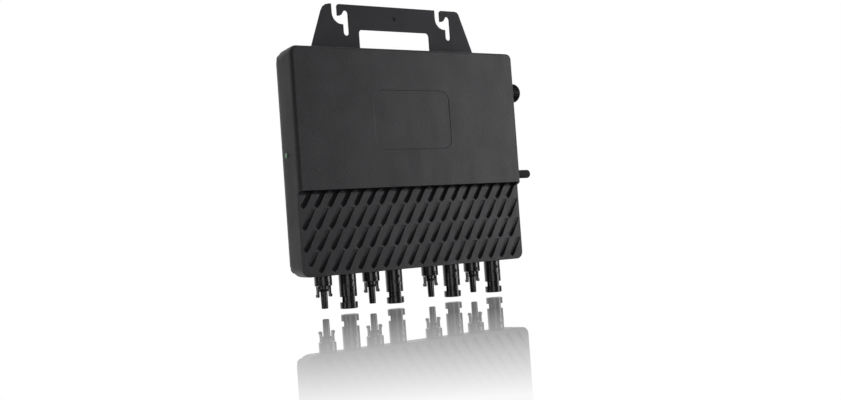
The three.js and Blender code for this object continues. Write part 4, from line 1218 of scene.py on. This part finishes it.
@dataclass
class Aerial:
    """The stub aerial on the right side, drawn about +Z with the housing's side at z = 0."""

    hexagon: float = 7.0
    base: Pair = (0.3, 4.8)
    stub: float = 4.75
    stub_foot: float = 5.1
    tip: float = 31.9
    tip_round: float = 2.6

    def build(self) -> None:
        """Build the screwed base and the stub."""
        place = on_right_side("aerial_stub")
        low, high = self.base
        base = Form.hexagon(self.hexagon, low, high).softened(0.35, 2)
        base.plus(Form.rod(3.0, -10, low + 0.5, SMALL_TURN))
        base.piece("aerial_socket", STEEL, place, replaces=("aerial_base",))
        crown = [
            (
                self.stub - self.tip_round * (1 - math.cos(angle)),
                self.tip - self.tip_round * (1 - math.sin(angle)),
            )
            for angle in quarter(10)
        ]
        foot = self.stub_foot
        groove = [
            point for index in range(3)
            for point in (
                (self.stub, foot + 1.2 + 1.6 * index), (self.stub - 0.35, foot + 1.5 + 1.6 * index),
                (self.stub - 0.35, foot + 1.9 + 1.6 * index), (self.stub, foot + 2.2 + 1.6 * index),
            )
        ]
        stub = Form.turned([
            (0, foot), (self.stub - 0.4, foot), (self.stub, foot + 0.4), *groove, *crown,
            (0, self.tip),
        ])
        stub.piece("aerial_rod", AERIAL_RUBBER, place, replaces=("aerial_stub",))


@dataclass
class StatusLamp:
    """The small lamp on the left side."""

    lens: float = 1.8
    rim: float = 2.6
    inside: float = -8.0
    seat: float = 0.3
    out: float = 1.2

    def build(self) -> None:
        """Build the lens with its raised rim."""
        axis = middle("status_lamp")
        side = low_corner("housing").x
        place = Matrix.Translation((side, axis.y, axis.z)) @ Matrix.Rotation(-math.pi / 2, 4, "Y")
        dome = [
            (self.lens * 0.8 * math.sin(angle), self.out - 0.5 + 0.5 * math.cos(angle))
            for angle in quarter(15)
        ]
        lens = Form.turned([
            *dome, (self.lens, self.out - 0.6), (self.rim - 0.25, self.out - 0.45),
            (self.rim, self.out - 0.7), (self.rim, self.seat), (self.lens, self.seat),
            (self.lens, self.inside), (0, self.inside),
        ], SMALL_TURN)
        lens.piece("lamp", LENS, place, replaces=("status_lamp",))


# ---------------------------------------------------------------- stage


@dataclass
class Studio:
    """White surroundings, soft lights, a glossy pale floor and the camera."""

    floor_height: float = -0.310
    floor_size: float = 14.0
    lens: float = 47.55
    sensor: float = 36.0
    eye: Triple = (-0.6638, -1.0053, -0.23745)
    yaw: float = 34.674  # degrees to the right of straight ahead
    pitch: float = 1.806
    bright_side: Triple = (0.35, 0.94, 0.0)  # the side from which the surroundings light most
    bright_from: Pair = (0.25, 0.75)
    shade_light: float = 0.07  # strength of the surroundings away from the bright side
    mirror_facing: Pair = (0.853, 0.93)
    mirror_share: Pair = (0.06, 0.86)
    mirror_roughness: float = 0.012
    roll: float = -4.143

    def build(self) -> None:
        """Build the camera, the floor, the surroundings and the lights."""
        self.camera()
        self.floor()
        self.surroundings()
        self.softbox("key", (0.72, -0.66, -0.05), (0.05, 0.0, -0.14), (0.5, 0.7), 4.2)
        self.softbox("fill", (-0.75, -1.3, -0.05), (0.0, 0.0, -0.15), (0.8, 0.8), 2.6)
        self.softbox("strip", (-1.0, -0.1, -0.25), (0.0, 0.0, -0.28), (0.1, 0.5), 0.6)
        self.softbox("top", (0.1, -0.2, 1.5), (0, 0, 0), (1.4, 0.8), 1.5)
        bpy.context.scene.view_settings.view_transform = "Standard"

    def camera(self) -> None:
        """Place the camera."""
        data = bpy.data.cameras.new("camera")
        data.lens = self.lens
        data.sensor_width = self.sensor
        camera = in_scene("camera", data)
        turn = (
            Matrix.Rotation(math.radians(-self.yaw), 4, "Z")
            @ Matrix.Rotation(math.radians(90 + self.pitch), 4, "X")
            @ Matrix.Rotation(math.radians(self.roll), 4, "Z")
        )
        camera.matrix_world = Matrix.Translation(self.eye) @ turn
        bpy.context.scene.camera = camera

    def floor(self) -> None:
        """Lay a pale floor that mirrors at a flat angle, and only towards the bright side."""
        mesh = bmesh.new()
        level = Matrix.Translation((0, 0, self.floor_height))
        bmesh.ops.create_grid(mesh, x_segments=1, y_segments=1, size=self.floor_size / 2, matrix=level)
        data = bpy.data.meshes.new("floor")
        mesh.to_mesh(data)
        floor = in_scene("floor", data)
        board = NodeBoard("pale_floor")
        facing = board.add("ShaderNodeLayerWeight").outputs["Facing"]
        white = board.feed(board.add("ShaderNodeEmission"), Color=WHITE, Strength=1.0)
        mirror = board.add("ShaderNodeBsdfGlossy")
        board.feed(mirror, Color=WHITE, Roughness=self.mirror_roughness)
        away = board.add("ShaderNodeVectorMath", operation="DOT_PRODUCT")
        board.tree.links.new(board.add("ShaderNodeNewGeometry").outputs["Incoming"], away.inputs[0])
        away.inputs[1].default_value = [-part for part in self.bright_side]
        flat = board.spread(facing, self.mirror_facing, self.mirror_share)
        share = board.product(flat, board.spread(away.outputs["Value"], self.bright_from, (0, 1)))
        mixed = board.add("ShaderNodeMixShader")
        board.tree.links.new(share, mixed.inputs[0])
        board.tree.links.new(white.outputs[0], mixed.inputs[1])
        board.tree.links.new(mirror.outputs[0], mixed.inputs[2])
        board.feed(board.add("ShaderNodeOutputMaterial"), Surface=mixed.outputs[0])
        data.materials.append(board.material)
        floor.visible_diffuse = False
        floor.visible_glossy = False
        floor.visible_shadow = False

    def surroundings(self) -> None:
        """Surround the scene with white that lights it softly, most from behind."""
        world = bpy.data.worlds.new("surroundings")
        bpy.context.scene.world = world
        world.use_nodes = True
        nodes, links = world.node_tree.nodes, world.node_tree.links
        nodes.clear()
        direction = nodes.new("ShaderNodeTexCoord").outputs["Generated"]
        toward = nodes.new("ShaderNodeVectorMath")
        toward.operation = "DOT_PRODUCT"
        links.new(direction, toward.inputs[0])
        toward.inputs[1].default_value = self.bright_side
        behind = nodes.new("ShaderNodeMapRange")
        links.new(toward.outputs["Value"], behind.inputs["Value"])
        low, high = self.bright_from
        levels = (
            ("From Min", low), ("From Max", high), ("To Min", self.shade_light), ("To Max", 1.0),
        )
        for name, value in levels:
            behind.inputs[name].default_value = value
        soft = nodes.new("ShaderNodeBackground")
        soft.inputs["Color"].default_value = WHITE
        links.new(behind.outputs["Result"], soft.inputs["Strength"])
        seen = nodes.new("ShaderNodeBackground")
        seen.inputs["Color"].default_value = WHITE
        path = nodes.new("ShaderNodeLightPath")
        mixed = nodes.new("ShaderNodeMixShader")
        links.new(path.outputs["Is Camera Ray"], mixed.inputs[0])
        links.new(soft.outputs[0], mixed.inputs[1])
        links.new(seen.outputs[0], mixed.inputs[2])
        links.new(mixed.outputs[0], nodes.new("ShaderNodeOutputWorld").inputs["Surface"])

    def softbox(self, name: str, where: Triple, aim: Triple, size: Pair, power: float) -> None:
        """Hang a soft rectangular light.

        Args:
            name: The light's name.
            where: Its place.
            aim: The point that it faces.
            size: Its width and height.
            power: Its power in watts.
        """
        data = bpy.data.lights.new(name, "AREA")
        data.shape = "RECTANGLE"
        data.size, data.size_y = size
        data.energy = power
        light = in_scene(name, data)
        light.location = where
        light.rotation_euler = (Vector(aim) - Vector(where)).to_track_quat("-Z", "Y").to_euler()


# ---------------------------------------------------------------- making


def main() -> None:
    """Dress the frame, build each sub-assembly and set the stage."""
    logging.basicConfig(level=logging.INFO, format="%(name)s: %(message)s")
    dress_frame()
    for assembly in (Casing(), Bracket(), Connectors(), CableGland(), Aerial(), StatusLamp()):
        assembly.build()
        log.info("built the %s", type(assembly).__name__)
    Studio().build()
    bpy.context.view_layer.update()


if __name__ == "__main__":
    main()
